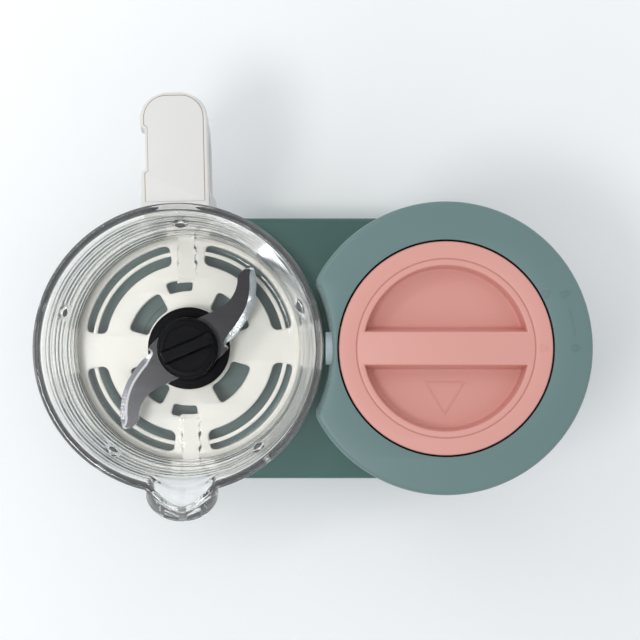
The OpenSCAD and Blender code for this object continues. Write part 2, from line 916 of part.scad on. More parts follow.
module bowl_base() {
    color("#eceae5")
        translate([bowl_x, 0, 0]) rotate([0, 0, bowl_turn])
            difference() {
                union() {
                    disc(base_out - 1, disc_z, disc_z + disc_t);
                    tube(base_out, base_out - 3, skirt_z, disc_z + disc_t);
                    tube(base_out, cup_in, disc_z, glass_z + 12);
                    disc(boss_r, disc_z, glass_z);
                }
                for (a = [0 : 90 : 270]) slot(slot_in, slot_out, a + 10.5, a + 79.5);
                for (a = [40, 140, 220, 320]) slot(boss_r + 2, slot_in - 14, a - 22, a + 22);
                for (a = [84, 278]) slot(slot_in - 18, slot_in - 10.5, a - 11.5, a + 11.5);
                disc(barrel_r + 0.05, disc_z - 1, glass_z + 1);
            }
}

module bowl_gasket() {
    color("#b7bbb9") translate([bowl_x, 0, 0]) tube(collar_r - 1, barrel_r + 0.05, glass_floor, flange_z);
}

module blade_collar() {
    color("#1b1b1d")
        translate([bowl_x, 0, 0])
            difference() {
                union() {
                    disc(collar_r, flange_z, collar_z - 1.4);
                    disc(collar_r - 2.5, collar_z - 2, collar_z - 0.7);
                    disc(collar_r - 5, collar_z - 2, collar_z);
                    disc(barrel_r, nut_z, flange_z + 1);
                }
                disc(bush_r + seat_c, nut_z - 1, collar_z + 1);
            }
}

module shaft_bush() {
    color("#b08b4a") translate([bowl_x, 0, 0]) tube(bush_r, shaft_r + run_c, nut_z + 3, collar_z - 0.5);
}

module collar_nut() {
    color("#2b2d30")
        translate([bowl_x, 0, 0])
            difference() {
                disc(boss_r, nut_z + 0.6, disc_z);
                disc(barrel_r + 0.05, nut_z - 1, disc_z + 1);
                for (a = [0 : 45 : 315])
                    rotate([0, 0, a]) translate([boss_r, 0, nut_z - 1]) cylinder(r = 2, h = 8);
            }
}

// ---- blade ----

// one swept arm of the blade
module arm_plan() {
    scale(arm_k)
        polygon([
            [0, -17], [-15.7, -24.1], [-24.6, -29.1], [-29.6, -35.6], [-31.8, -41.8], [-32.3, -47.2],
            [-35, -50.3], [-37.3, -52], [-42.4, -52.4], [-44.3, -46], [-44.3, -37.9], [-43.1, -30.2],
            [-40.4, -22.5], [-35.8, -14.8], [-30.4, -7.9], [-24.8, -2.9], [-25.8, 0.6], [-17.3, 8.7],
            [-4, 6], [4, -6]
        ]);
}

module blade() {
    color("#7f8283")
        translate([bowl_x, 0, blade_z])
            difference() {
                union() {
                    cylinder(r = hub_r - 1, h = blade_t);
                    linear_extrude(blade_t) arm_plan();
                    rotate([0, 0, 180]) linear_extrude(blade_t) arm_plan();
                }
                translate([0, 0, -1]) cylinder(r = shaft_r + seat_c, h = blade_t + 2);
            }
}

module blade_spacer() {
    color("#1b1b1d") translate([bowl_x, 0, 0]) tube(hub_r - 2, shaft_r + seat_c, collar_z + open_c, blade_z);
}

module blade_hub() {
    color("#1d1d20")
        translate([bowl_x, 0, 0])
            difference() {
                union() {
                    disc(hub_r, blade_z + blade_t, blade_z + blade_t + 8);
                    disc(hub_r - 2, blade_z + blade_t + 7, blade_z + blade_t + 10);
                    rotate([0, 0, 23])
                        translate([-hub_r + 2, -2.6, blade_z + blade_t + 9]) cube([2 * hub_r - 4, 5.2, 7]);
                }
                disc(shaft_r + seat_c, blade_z, blade_z + blade_t + 7);
            }
}

module blade_shaft() {
    color("#c7cacc") translate([bowl_x, 0, 0]) disc(shaft_r, dog_z + 4, blade_z + blade_t + 7);
}

module blade_dog() {
    color("#9da0a2")
        translate([bowl_x, 0, 0])
            difference() {
                translate([-dog_w / 2, -dog_w / 2, dog_z - 0.4]) cube([dog_w, dog_w, 7]);
                disc(shaft_r + seat_c, dog_z + 4, dog_z + 8);
            }
}

// ---- bowl handle ----

// plan outline of the handle with its rounded tip
module handle_plan(inset) {
    w = handle_w / 2 - inset;
    r = corner_r - inset;
    difference() {
        union() {
            translate([-w, -tip_p + corner_r]) square([2 * w, tip_p - corner_r - 60]);
            translate([-w + r, -tip_p + inset]) square([2 * w - 2 * r, corner_r + 1]);
            translate([-w + r, -tip_p + corner_r]) circle(r);
            translate([w - r, -tip_p + corner_r]) circle(r);
        }
        translate([w - 3 + inset * 0.4, -tip_p + 22]) square([6, 26]);
    }
}

// side outline of the handle, distance from the bowl axis against height
module handle_side() {
    difference() {
        polygon([
            [60, top_p], [tip_p - 5, top_p], [tip_p - 1.5, top_p - 1.8], [tip_p, top_p - 6],
            [tip_p, top_p - 26], [tip_p - 6, low_p + 30], [tip_p - 12, low_p + 13],
            [tip_p - 24, low_p + 4], [60, low_p]
        ]);
        polygon([
            [root_p, top_p - 15], [tip_p - grip_t - 6, top_p - 15], [tip_p - grip_t, top_p - 22],
            [tip_p - grip_t - 1, top_p - 32], [tip_p - grip_t - 6, low_p + 34], [tip_p - grip_t - 11, low_p + 23],
            [tip_p - grip_t - 20, low_p + 18], [root_p, low_p + 16]
        ]);
    }
}

module at_handle_screws() {
    for (z = [low_p + 26, top_p - 26])
        translate([0, -root_p, z]) rotate([-90, 0, 0]) children();
}

module handle_shell() {
    color("#e8e7e1")
        translate([bowl_x, 0, 0]) rotate([0, 0, bowl_turn])
            difference() {
                handle_turned();
                translate([0, 0, -0.15]) rotate_extrude() glass_clear();
                tube(base_out + 0.1, 10, skirt_z, glass_z + 12.1);
                translate([0, 0, top_p - inlay_t]) linear_extrude(10) inlay_plan(2.4);
                at_handle_screws() disc(3.6, -1, 2.1);
                at_handle_screws() disc(1.6, 0, 8.1);
            }
}

// glass outline with seating clearance, as seen by the handle
module glass_clear() {
    polygon([
        [0, glass_z - 5], [wall_low_r + 0.15, glass_z - 5], [wall_low_r + 0.15, glass_z + 6],
        [wall_top_r + 0.15, rim_z - 9], [rim_r + 0.15, rim_z - 7], [rim_r + 0.15, rim_z + 2], [0, rim_z + 2]
    ]);
}

// handle with its side outline standing towards -Y
module handle_turned() {
    intersection() {
        translate([handle_w, 0, 0])
            rotate([90, 0, -90]) linear_extrude(2 * handle_w) handle_side();
        linear_extrude(rim_z) handle_plan(0);
    }
}

// plan of the inlay in the handle's top face
module inlay_plan(inset) {
    intersection() {
        handle_plan(inset);
        translate([-50, -tip_p]) square([100, tip_p - rim_r - 4]);
    }
}

module handle_cover() {
    color("#e2e0d9")
        translate([bowl_x, 0, 0]) rotate([0, 0, bowl_turn])
            intersection() {
                translate([0, 0, top_p - inlay_t]) linear_extrude(10) inlay_plan(2.45);
                handle_turned();
            }
}

module handle_screws() {
    color("#b9bcbe")
        translate([bowl_x, 0, 0]) rotate([0, 0, bowl_turn])
            at_handle_screws() {
                disc(3.4, 0.1, 2.1);
                disc(1.5, 2.1, 8);
            }
}

base_shell();
bottom_cover();
feet();
cover_screws();
cord_gland();
tower_shell();
top_ring();
knob_bezel();
rotary_switch();
control_board();
interlock_switch();
motor_bracket();
motor_stator();
motor_end_cap();
motor_bearings();
motor_screws();
drive_belt();
bearing_housing();
spindle_bearings();
spindle_seal();
housing_screws();
water_tank();
boiler_gasket();
heating_plate();
heating_element();
thermostat();
thermal_fuse();
boiler_screws();
steam_duct();
nozzle_seal();
steam_nozzle();
motor_shaft();
motor_rotor();
drive_pulley();
cooling_fan();
drive_spindle();
driven_pulley();
drive_coupling();
glass_bowl();
bowl_base();
bowl_gasket();
handle_shell();
handle_cover();
handle_screws();
blade_collar();
shaft_bush();
collar_nut();
blade();
blade_spacer();
blade_hub();
blade_shaft();
blade_dog();
cap_plug();
cap_seal();
valve_body();
valve_weight();
water_cap();
cap_clip();
control_knob();
knob_shaft();
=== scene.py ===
import math

import bmesh
import bpy
import numpy as np
from mathutils.geometry import tessellate_polygon
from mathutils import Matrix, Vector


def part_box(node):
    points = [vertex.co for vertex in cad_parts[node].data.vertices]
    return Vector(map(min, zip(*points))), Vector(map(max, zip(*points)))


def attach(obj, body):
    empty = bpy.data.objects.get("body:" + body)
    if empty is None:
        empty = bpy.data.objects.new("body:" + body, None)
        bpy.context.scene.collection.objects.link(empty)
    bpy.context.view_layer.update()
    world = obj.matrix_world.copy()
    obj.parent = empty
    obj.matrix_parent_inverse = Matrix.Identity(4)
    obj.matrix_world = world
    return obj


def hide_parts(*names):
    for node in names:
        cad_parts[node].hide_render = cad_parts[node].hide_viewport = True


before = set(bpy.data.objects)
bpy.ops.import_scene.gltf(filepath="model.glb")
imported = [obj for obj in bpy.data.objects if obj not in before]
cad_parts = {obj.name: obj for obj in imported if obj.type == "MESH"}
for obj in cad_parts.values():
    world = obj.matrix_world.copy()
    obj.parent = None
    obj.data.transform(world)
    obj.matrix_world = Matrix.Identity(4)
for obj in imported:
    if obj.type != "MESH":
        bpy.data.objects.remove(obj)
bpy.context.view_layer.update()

# ---- camera ----
# A long lens straight above the machine, with the handle side at the top of the picture.
# The lens axis passes a little beside the middle of the picture, so a small shift frames it.

def mm_box(node):
    """Lowest and highest corner of a CAD node, in millimetres."""
    low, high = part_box(node)
    return np.array(low) * 1000, np.array(high) * 1000


bowl_low, bowl_high = mm_box("glass_bowl")
tower_low, tower_high = mm_box("top_ring")
cap_low, cap_high = mm_box("water_cap")
RIM_Z = bowl_high[2]
TOWER_Z = tower_high[2]
BOWL_X = (bowl_low[0] + bowl_high[0]) / 2
TOWER_X = (cap_low[0] + cap_high[0]) / 2
AXIS_GAP = BOWL_X - TOWER_X

camera_data = bpy.data.cameras.new("overhead_camera")
camera_data.lens = 121.3
camera_data.sensor_width = 36
camera_data.shift_x = 0.0145
camera_data.shift_y = 0.0442
camera_data.clip_start = 0.05
camera = bpy.data.objects.new("overhead_camera", camera_data)
camera.location = (0, 0, RIM_Z / 1000 + 1.3)
camera.rotation_euler = (0, 0, math.pi)
bpy.context.scene.collection.objects.link(camera)
bpy.context.scene.camera = camera
bpy.context.scene.view_settings.view_transform = "Standard"

# ---- studio ----
# A white sweep under the machine, a big soft box at the front and a small one over the bowl, and a bright
# dome with a dark patch straight overhead, so that flat steel and black plastic stay dark from above.

def linear(code):
    """Linear RGBA of an sRGB hex colour, by the standard two-part curve."""
    srgb = np.array([int(code[i : i + 2], 16) for i in (1, 3, 5)]) / 255
    low = srgb / 12.92
    high = ((srgb + 0.055) / 1.055) ** 2.4
    return (*np.where(srgb <= 0.04045, low, high), 1.0)


def add_node(tree, kind, settings=None, links=None):
    """Adds a node, gives its properties or sockets their values, and links sockets by name."""
    node = tree.nodes.new(kind)
    for key, value in (settings or {}).items():
        if isinstance(key, str) and hasattr(node, key):
            setattr(node, key, value)
        else:
            node.inputs[key].default_value = value
    for key, source in (links or {}).items():
        tree.links.new(source, node.inputs[key])
    return node


def new_material(name):
    """An empty node material, its tree and its Object coordinates."""
    made = bpy.data.materials.new(name)
    made.use_nodes = True
    made.node_tree.nodes.clear()
    place = add_node(made.node_tree, "ShaderNodeTexCoord")
    return made, made.node_tree, place.outputs["Object"]


def close_material(tree, shader):
    """Links the shader to the material's output."""
    add_node(tree, "ShaderNodeOutputMaterial", links={"Surface": shader.outputs[0]})


def painted_sweep():
    """Matt white paint on a board: faint mottling from the roller."""
    made, tree, place = new_material("painted_sweep")
    mottle = add_node(tree, "ShaderNodeTexNoise", {"Scale": 9.0, "Detail": 3.0}, {"Vector": place})
    tone = add_node(tree, "ShaderNodeValToRGB", links={"Fac": mottle.outputs["Fac"]})
    tone.color_ramp.elements[0].color = linear("#f7f7f6")
    tone.color_ramp.elements[1].color = linear("#fcfcfc")
    shader = add_node(
        tree,
        "ShaderNodeBsdfPrincipled",
        {"Roughness": 0.85, "Specular IOR Level": 0.2},
        {"Base Color": tone.outputs["Color"]},
    )
    close_material(tree, shader)
    return made


floor_mesh = bpy.data.meshes.new("sweep")
side = 6.0
floor_corners = [(-side, -side, 0), (side, -side, 0), (side, side, 0), (-side, side, 0)]
floor_mesh.from_pydata(floor_corners, [], [(0, 1, 2, 3)])
floor_mesh.materials.append(painted_sweep())
floor = bpy.data.objects.new("sweep", floor_mesh)
bpy.context.scene.collection.objects.link(floor)

world = bpy.data.worlds.new("studio")
bpy.context.scene.world = world
world.use_nodes = True
sky = world.node_tree
direction = add_node(sky, "ShaderNodeTexCoord")
parts = add_node(sky, "ShaderNodeSeparateXYZ", links={"Vector": direction.outputs["Generated"]})
dome = add_node(sky, "ShaderNodeValToRGB", links={"Fac": parts.outputs["Z"]})
dome.color_ramp.elements[0].position = 0.965
dome.color_ramp.elements[0].color = (0.93, 0.96, 1.0, 1.0)
dome.color_ramp.elements[1].position = 0.985
dome.color_ramp.elements[1].color = (0.12, 0.12, 0.125, 1.0)
sky.links.new(dome.outputs["Color"], sky.nodes["Background"].inputs["Color"])
sky.nodes["Background"].inputs["Strength"].default_value = 0.85


def soft_box(name, place, aim, size, power):
    """A square area light at one point, turned to face another."""
    lamp = bpy.data.lights.new(name, "AREA")
    lamp.shape = "SQUARE"
    lamp.size = size
    lamp.energy = power
    box = bpy.data.objects.new(name, lamp)
    box.location = place
    direction = np.array(aim, float) - np.array(place, float)
    yaw = math.atan2(direction[0], -direction[1])
    pitch = math.atan2(math.hypot(direction[0], direction[1]), -direction[2])
    box.rotation_euler = (pitch, 0, yaw)
    bpy.context.scene.collection.objects.link(box)


soft_box("key_box", (1.05, -0.95, 1.9), (0.0, 0.0, 0.15), 1.0, 22)
soft_box("bowl_box", (0.72, 0.42, 2.6), (0.08, 0.0, 0.1), 0.55, 16)

# ---- drive base, tower shell and their covers ----
# Injection-moulded ABS in a grey sage green, spark-eroded to a fine satin grain. The base is coloured
# darker than the tower, with the same grain. The bottom cover, gland and switches are a dark grey ABS.

def moulded_plastic(name, colour, lighter, grain_mm, roughness, bump, specular=0.45):
    """Moulded plastic: an eroded grain of the given size, a slow drift in tone and gloss patches."""
    made, tree, place = new_material(name)
    drift = add_node(tree, "ShaderNodeTexNoise", {"Scale": 14.0, "Detail": 2.0}, {"Vector": place})
    grain = add_node(
        tree, "ShaderNodeTexNoise", {"Scale": 1000.0 / grain_mm, "Detail": 4.0}, {"Vector": place}
    )
    tone = add_node(
        tree,
        "ShaderNodeMix",
        {"data_type": "RGBA", 6: linear(colour), 7: linear(lighter)},
        {0: drift.outputs["Fac"]},
    )
    gloss = add_node(
        tree,
        "ShaderNodeMapRange",
        {"To Min": roughness - 0.05, "To Max": roughness + 0.06},
        {"Value": grain.outputs["Fac"]},
    )
    relief = add_node(
        tree, "ShaderNodeBump", {"Strength": bump, "Distance": 0.0002}, {"Height": grain.outputs["Fac"]}
    )
    shader = add_node(
        tree,
        "ShaderNodeBsdfPrincipled",
        {"IOR": 1.5, "Specular IOR Level": specular},
        {
            "Base Color": tone.outputs[2],
            "Roughness": gloss.outputs["Result"],
            "Normal": relief.outputs["Normal"],
        },
    )
    close_material(tree, shader)
    return made


def sage_abs():
    """Sage green ABS with a 0.5 mm satin grain: soft wide highlights, no mirror."""
    return moulded_plastic("sage_abs", "#617c7a", "#667f7e", 0.5, 0.38, 0.1, 0.6)


def deep_sage_abs():
    """The base's sage, coloured darker than the tower's, same grain."""
    return moulded_plastic("deep_sage_abs", "#3e615b", "#446761", 0.5, 0.42, 0.12)


def dark_abs():
    """Dark grey ABS of covers and switches, a coarser 0.8 mm grain that hides scratches."""
    return moulded_plastic("dark_abs", "#2b2e30", "#323638", 0.8, 0.55, 0.2)


def dress(material, *nodes):
    """Gives CAD nodes a finished material in all their slots."""
    for name in nodes:
        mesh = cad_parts[name].data
        mesh.materials.clear()
        mesh.materials.append(material)


SAGE = sage_abs()
DEEP_SAGE = deep_sage_abs()
DARK = dark_abs()
dress(DEEP_SAGE, "base_shell")
dress(SAGE, "tower_shell")
dress(DARK, "bottom_cover", "cord_gland", "rotary_switch", "interlock_switch", "cooling_fan")
dress(DARK, "drive_pulley", "driven_pulley", "drive_coupling", "collar_nut", "valve_body")

# ---- top ring of the tower ----
# A separate sage moulding clipped on top of the tower, with a wide rounded outer edge, a tighter one
# along the hollow that the bowl stands in, and shallow raised signs of its own colour beside the cap.


def build(name, grids, fills, material, body, slot_name, crease=38):
    """One mesh in metres from grids of points in mm: quads between neighbours, flat fills inside outlines.

    A grid is (points, closed along rows, closed along columns). A fill is an outline followed by the
    outlines of its holes. Doubles are merged and normals turned outwards.
    """
    points, faces, smooth, start = [], [], [], 0
    for grid, wrap_rows, wrap_columns in grids:
        rows, columns = grid.shape[:2]
        index = np.arange(rows * columns).reshape(rows, columns) + start
        top = index if wrap_rows else index[:-1]
        down = np.roll(index, -1, axis=0) if wrap_rows else index[1:]
        quads = np.stack([top, np.roll(top, -1, axis=1), np.roll(down, -1, axis=1), down], axis=-1)
        quads = quads if wrap_columns else quads[:, :-1]
        points.append(grid.reshape(-1, 3))
        faces += quads.reshape(-1, 4).tolist()
        start += rows * columns
    smooth += [True] * len(faces)
    for rings in fills:
        triangles = tessellate_polygon([ring.tolist() for ring in rings])
        points += rings
        faces += (np.array(triangles) + start).tolist()
        start += sum(len(ring) for ring in rings)
    smooth += [False] * (len(faces) - len(smooth))
    mesh = bpy.data.meshes.new(name)
    mesh.from_pydata((np.vstack(points) / 1000).tolist(), [], faces)
    mesh.polygons.foreach_set("use_smooth", smooth)
    work = bmesh.new()
    work.from_mesh(mesh)
    bmesh.ops.remove_doubles(work, verts=work.verts, dist=4e-6)
    bmesh.ops.dissolve_degenerate(work, edges=work.edges, dist=1e-7)
    bmesh.ops.recalc_face_normals(work, faces=work.faces)
    work.to_mesh(mesh)
    work.free()
    mesh.set_sharp_from_angle(angle=math.radians(crease))
    mesh.materials.append(material)
    piece = bpy.data.objects.new(name, mesh)
    bpy.context.scene.collection.objects.link(piece)
    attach(piece, body)
    return piece


def fillet(corners, radii, steps=8):
    """A closed outline with rounded corners: each arc leaves its sides at radius / tan(half the corner)."""
    corners = np.array(corners, float)
    back = np.roll(corners, 1, axis=0) - corners
    ahead = np.roll(corners, -1, axis=0) - corners
    back /= np.linalg.norm(back, axis=1, keepdims=True)
    ahead /= np.linalg.norm(ahead, axis=1, keepdims=True)
    half = np.arccos(np.clip((back * ahead).sum(1), -0.999999, 0.999999)) / 2
    radii = np.maximum(np.broadcast_to(np.array(radii, float), half.shape), 1e-4)
    middle = corners + (back + ahead) / (2 * np.cos(half) * np.sin(half))[:, None] * radii[:, None]
    first = corners + back * (radii / np.tan(half))[:, None] - middle
    last = corners + ahead * (radii / np.tan(half))[:, None] - middle
    swing = (math.pi - 2 * half)[:, None, None]
    share = np.linspace(0, 1, steps)[None, :, None]
    first_part = np.sin((1 - share) * swing) * first[:, None]
    last_part = np.sin(share * swing) * last[:, None]
    return (middle[:, None] + (first_part + last_part) / np.sin(swing)).reshape(-1, 2)


def circle(radius, centre=(0.0, 0.0), columns=192):
    """Points around a circle."""
    angle = np.linspace(0, 2 * math.pi, columns, endpoint=False)
    return np.stack([centre[0] + radius * np.cos(angle), centre[1] + radius * np.sin(angle)], axis=-1)


def grown(outline, distance):
    """An anticlockwise outline moved outwards along its own normals."""
    along = np.roll(outline, -1, axis=0) - np.roll(outline, 1, axis=0)
    normal = np.stack([along[:, 1], -along[:, 0]], axis=-1)
    return outline + distance * normal / np.maximum(np.linalg.norm(normal, axis=1, keepdims=True), 1e-9)


def flat(outline, height):
    """A plan outline lifted to a height."""
    return np.column_stack([outline, np.broadcast_to(height, len(outline))])


def walls(outline, edge, low, high, sign=1.0, low_edge=0.0):
    """Rows up an outline's side with quarter-round edges: sign is -1 inside a hole."""
    turn = np.linspace(0, math.pi / 2, 6)
    foot = [
        flat(grown(outline, -sign * low_edge * (1 - math.sin(step))), low + low_edge * (1 - math.cos(step)))
        for step in (turn if low_edge else turn[-1:])
    ]
    top = [
        flat(grown(outline, -sign * edge * (1 - math.cos(step))), high - edge * (1 - math.sin(step)))
        for step in turn
    ]
    return np.array(foot + top)


def slab(outside, holes, low, high, edge, low_edge=0.0):
    """Grids and fills of a flat piece with rounded edges on its outline and its holes."""
    grids = [walls(outside, edge, low, high, 1.0, low_edge)]
    grids += [walls(hole, edge, low, high, -1.0, low_edge) for hole in holes]
    fills = [[grid[-1] for grid in grids], [grid[0] for grid in grids]]
    return [(grid, False, True) for grid in grids], fills


TOWER_R = TOWER_X - tower_low[0]
CAP_R = cap_high[0] - TOWER_X
HOLE_R = CAP_R + 1
RING_LOW = tower_low[2]
SIGN_RISE = 0.2
SIGN_LOW = TOWER_Z - 0.6
SIGN_LINE = 0.5
SIGN_R = HOLE_R + 11.9
SCOOP_R = BOWL_X - mm_box("steam_nozzle")[1][0] + 4.0
CORNER_SOFT = 1.0
OUTER_EDGE = 3.2
SCOOP_EDGE = 1.9
EDGE_HIGH = 3


def tower_outline(inset, scoop_inset, columns=720):
    """Radius about the tower's axis: the lesser of its own circle and the near side of the bowl's hollow.

    The hollow's side is the first root of a ray meeting a circle, and a soft minimum rounds the corners.
    """
    angle = np.linspace(0, 2 * math.pi, columns, endpoint=False)
    under = (SCOOP_R + scoop_inset) ** 2 - (AXIS_GAP * np.sin(angle)) ** 2
    near = AXIS_GAP * np.cos(angle) - np.sqrt(np.maximum(under, 0))
    side = np.where((under > 0) & (np.cos(angle) > 0), near, 10 * TOWER_R)
    radius = -CORNER_SOFT * np.logaddexp(-(TOWER_R - inset) / CORNER_SOFT, -side / CORNER_SOFT)
    return np.stack([TOWER_X + radius * np.cos(angle), radius * np.sin(angle)], axis=-1)


def ring_rows():
    """Rows up the outside, over the rounded edge, across the top, round the hole's edge and down inside."""
    turn = np.linspace(0, math.pi / 2, 9)
    top = TOWER_Z - SIGN_RISE
    rows = [flat(tower_outline(0.25, 0.25), RING_LOW), flat(tower_outline(0, 0), RING_LOW + 0.4)]
    for step in turn:
        inwards = 1 - math.cos(step)
        edge = tower_outline(OUTER_EDGE * inwards, SCOOP_EDGE * inwards)
        rows.append(flat(edge, top - EDGE_HIGH * (1 - math.sin(step))))
    hole = circle(1.0, columns=720)
    rows += [
        flat(hole * (HOLE_R + 0.5 * (1 - math.sin(step))) + (TOWER_X, 0), top - 0.5 * (1 - math.cos(step)))
        for step in turn[::2]
    ]
    return np.array(rows + [flat(hole * HOLE_R + (TOWER_X, 0), RING_LOW)])


def stroke(path, width, low, high):
    """A raised line along a path of plan points, closed at both ends."""
    path = np.array(path, float)
    along = np.gradient(path, axis=0)
    normal = np.stack([along[:, 1], -along[:, 0]], axis=-1)
    normal *= width / 2 / np.linalg.norm(normal, axis=1, keepdims=True)
    outline = np.vstack([path + normal, (path - normal)[::-1]])
    return slab(outline, [], low, high, 0.05)


def outline_band(corners, width, low, high):
    """A raised line round a closed shape: the space between the shape and itself made smaller."""
    outer = fillet(corners, 0.25, 5)
    middle = outer.mean(axis=0)
    reach = np.linalg.norm(outer - middle, axis=1).min()
    inner = fillet(middle + (np.array(corners) - middle) * (1 - width / reach), 0.15, 5)
    return slab(outer, [inner], low, high, 0.05)


def polar(radius, degrees):
    """Plan points about the tower's axis."""
    angle = np.radians(degrees)
    return np.stack([TOWER_X + radius * np.cos(angle), radius * np.sin(angle)], axis=-1)


def joined(*parts):
    """Grids and fills of several shapes as one piece."""
    return sum((part[0] for part in parts), []), sum((part[1] for part in parts), [])


def padlock(degrees, radius, shackle_lift):
    """A generic padlock sign: a small body outline with a half-round shackle that is lifted when open."""
    centre = polar(radius, degrees)
    outward = np.array([math.cos(math.radians(degrees)), math.sin(math.radians(degrees))])
    across = np.array([-outward[1], outward[0]])
    facing = np.stack([across, outward])
    body = centre + np.array([[-1.9, -1.5], [1.9, -1.5], [1.9, 1.5], [-1.9, 1.5]]) @ facing
    swing = np.linspace(0, math.pi, 12)
    bend = np.stack([1.25 * np.cos(swing), 1.4 + shackle_lift + 1.6 * np.sin(swing)], axis=-1)
    low, high = SIGN_LOW, TOWER_Z
    shackle = stroke(centre + bend @ facing, SIGN_LINE, low, high)
    return joined(outline_band(body, SIGN_LINE, low, high), shackle)


rows = ring_rows()
outside, hole_side = rows[:-6], rows[-6:]
ring_grids = [(outside, False, True), (hole_side, False, True)]
ring_fills = [[outside[-1], hole_side[0]], [outside[0], hole_side[-1]]]
top_ring = build("tower_top_ring", ring_grids, ring_fills, SAGE, "housing", "green_plastic")
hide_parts("top_ring")

index_corners = [polar(HOLE_R + 6, 208.6), polar(HOLE_R + 1.2, 210.9), polar(HOLE_R + 1.2, 206.3)]
index_sign = outline_band(index_corners, 0.45, SIGN_LOW, TOWER_Z)
turn_sign = stroke(polar(SIGN_R, np.linspace(185.5, 198, 24)), SIGN_LINE, SIGN_LOW, TOWER_Z)
signs = joined(index_sign, turn_sign, padlock(204.5, SIGN_R, 0.9), padlock(180.0, SIGN_R - 0.3, 0.0))
build("ring_signs", *signs, SAGE, "housing", "green_plastic")

# ---- water cap ----
# The pink twist-off cap of the boiler, one moulding in satin ABS: a flange with a fine groove round it,
# two deep half-round pockets for the fingers and the grip bar left between them.


def pink_abs():
    """Warm pink ABS, 0.6 mm satin grain: broad soft highlights on the bar and lip."""
    return moulded_plastic("pink_abs", "#d89a8f", "#dc9f94", 0.6, 0.4, 0.1)


def turned(profile, axis_x, columns=192):
    """A profile of (radius, height) turned about an upright axis."""
    angle = np.linspace(0, 2 * math.pi, columns, endpoint=False)
    radius, height = np.array(profile)[:, :1], np.array(profile)[:, 1:]
    return np.stack([axis_x + radius * np.cos(angle), radius * np.sin(angle), height + 0 * angle], axis=-1)


PINK = pink_abs()
CAP_TOP = TOWER_Z - SIGN_RISE
FLANGE_LOW = CAP_TOP - 4.8
POCKET_R = CAP_R - 13.4
POCKET_DEEP = 15.8
BAR_HALF = 9.05
GROOVE_R = POCKET_R + 3.0
CAP_UNDER = CAP_TOP - POCKET_DEEP - 2.6
quarter = np.linspace(0, math.pi / 2, 7)


def arc_rows(centre_r, centre_z, radius, start, stop, steps=7):
    """Profile points on an arc, its angles in degrees."""
    angle = np.radians(np.linspace(start, stop, steps))
    return np.stack([centre_r + radius * np.cos(angle), centre_z + radius * np.sin(angle)], axis=-1)


def pocket(side):
    """Half-round outlines going down: the straight side leans out from the bar, the round side leans in.

    A row's straight side is at the bar's half width plus its lean.
    Its arc is at the pocket's radius less its own lean.
    """
    lip, toe = 0.9, 1.6
    slope = np.linspace(0, 1, 4)[1:-1]
    down = lip + slope * (POCKET_DEEP - lip - toe)
    deep = np.concatenate([lip * (1 - np.cos(quarter)), down, POCKET_DEEP - toe * (1 - np.sin(quarter))])
    round_lip = lip * np.sin(quarter)
    round_toe = toe * (1 - np.cos(quarter))
    bar_lean, side_lean = 2.2, 1.1
    straight = np.concatenate([round_lip, lip + bar_lean * slope, lip + bar_lean + round_toe])
    curved = np.concatenate([round_lip, lip + side_lean * slope, lip + side_lean + round_toe])
    radius = (POCKET_R - curved)[:, None]
    chord = (BAR_HALF + straight)[:, None]
    corner = np.arcsin(chord / radius)
    share = np.linspace(0, 1, 97)[None]
    angle = corner + (math.pi - 2 * corner) * share
    line = np.linspace(-1, 1, 41)[None, 1:-1]
    x = np.hstack([radius * np.cos(angle), radius * np.cos(corner) * line])
    y = np.hstack([radius * np.sin(angle), chord + 0 * line])
    return np.stack([TOWER_X + x, side * y, CAP_TOP - deep[:, None] + 0 * x], axis=-1)


rim = np.vstack(
    [
        arc_rows(CAP_R - 1.2, CAP_TOP - 1.2, 1.2, 90, 0),
        [[CAP_R, FLANGE_LOW], [CAP_R - 0.8, FLANGE_LOW]],
        [[CAP_R - 0.8, FLANGE_LOW - 6.5], [CAP_R - 4, FLANGE_LOW - 6.5]],
        [[CAP_R - 4, FLANGE_LOW - 0.6], [POCKET_R + 2.4, FLANGE_LOW - 0.6], [POCKET_R + 2.4, CAP_UNDER]],
    ]
)
groove = np.vstack(
    [
        arc_rows(GROOVE_R + 0.6, CAP_TOP - 0.25, 0.25, 90, 180, 4),
        [[GROOVE_R + 0.35, CAP_TOP - 0.8], [GROOVE_R - 0.35, CAP_TOP - 0.8]],
        arc_rows(GROOVE_R - 0.6, CAP_TOP - 0.25, 0.25, 0, 90, 4),
    ]
)
rim_rows = turned(rim, TOWER_X, 256)
groove_rows = turned(groove, TOWER_X, 256)
front, rear = pocket(1.0), pocket(-1.0)
cap_grids = [(rim_rows, False, True), (groove_rows, False, True), (front, False, True), (rear, False, True)]
cap_fills = [
    [rim_rows[0], groove_rows[0]],
    [groove_rows[-1], front[0], rear[0]],
    [front[-1]],
    [rear[-1]],
    [rim_rows[-1]],
]
cap = build("twist_cap", cap_grids, cap_fills, PINK, "cap", "pink_plastic")
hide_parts("water_cap")

arrow = outline_band(
    [(TOWER_X - CAP_R + 2.2, 0), (TOWER_X - CAP_R + 7.6, -2.7), (TOWER_X - CAP_R + 7.6, 2.7)],
    0.6, CAP_TOP - 0.5, TOWER_Z,
)
floor_z = CAP_TOP - POCKET_DEEP
triangle = np.array([TOWER_X, POCKET_R * 0.6]) + np.array([[0, 9.8], [-12, -9.8], [12, -9.8]])
plain_triangle = outline_band(triangle, 1.0, floor_z - 0.3, floor_z + 0.5)
build("cap_signs", *joined(arrow, plain_triangle), PINK, "cap", "pink_plastic")

# ---- water tank, boiler and steam way ----
# Inside the tower: a drawn aluminium tank on a cast plate with its element, sealed with silicone rings.
# The steam leaves by a translucent port in the hollow's wall, which points at the bowl.


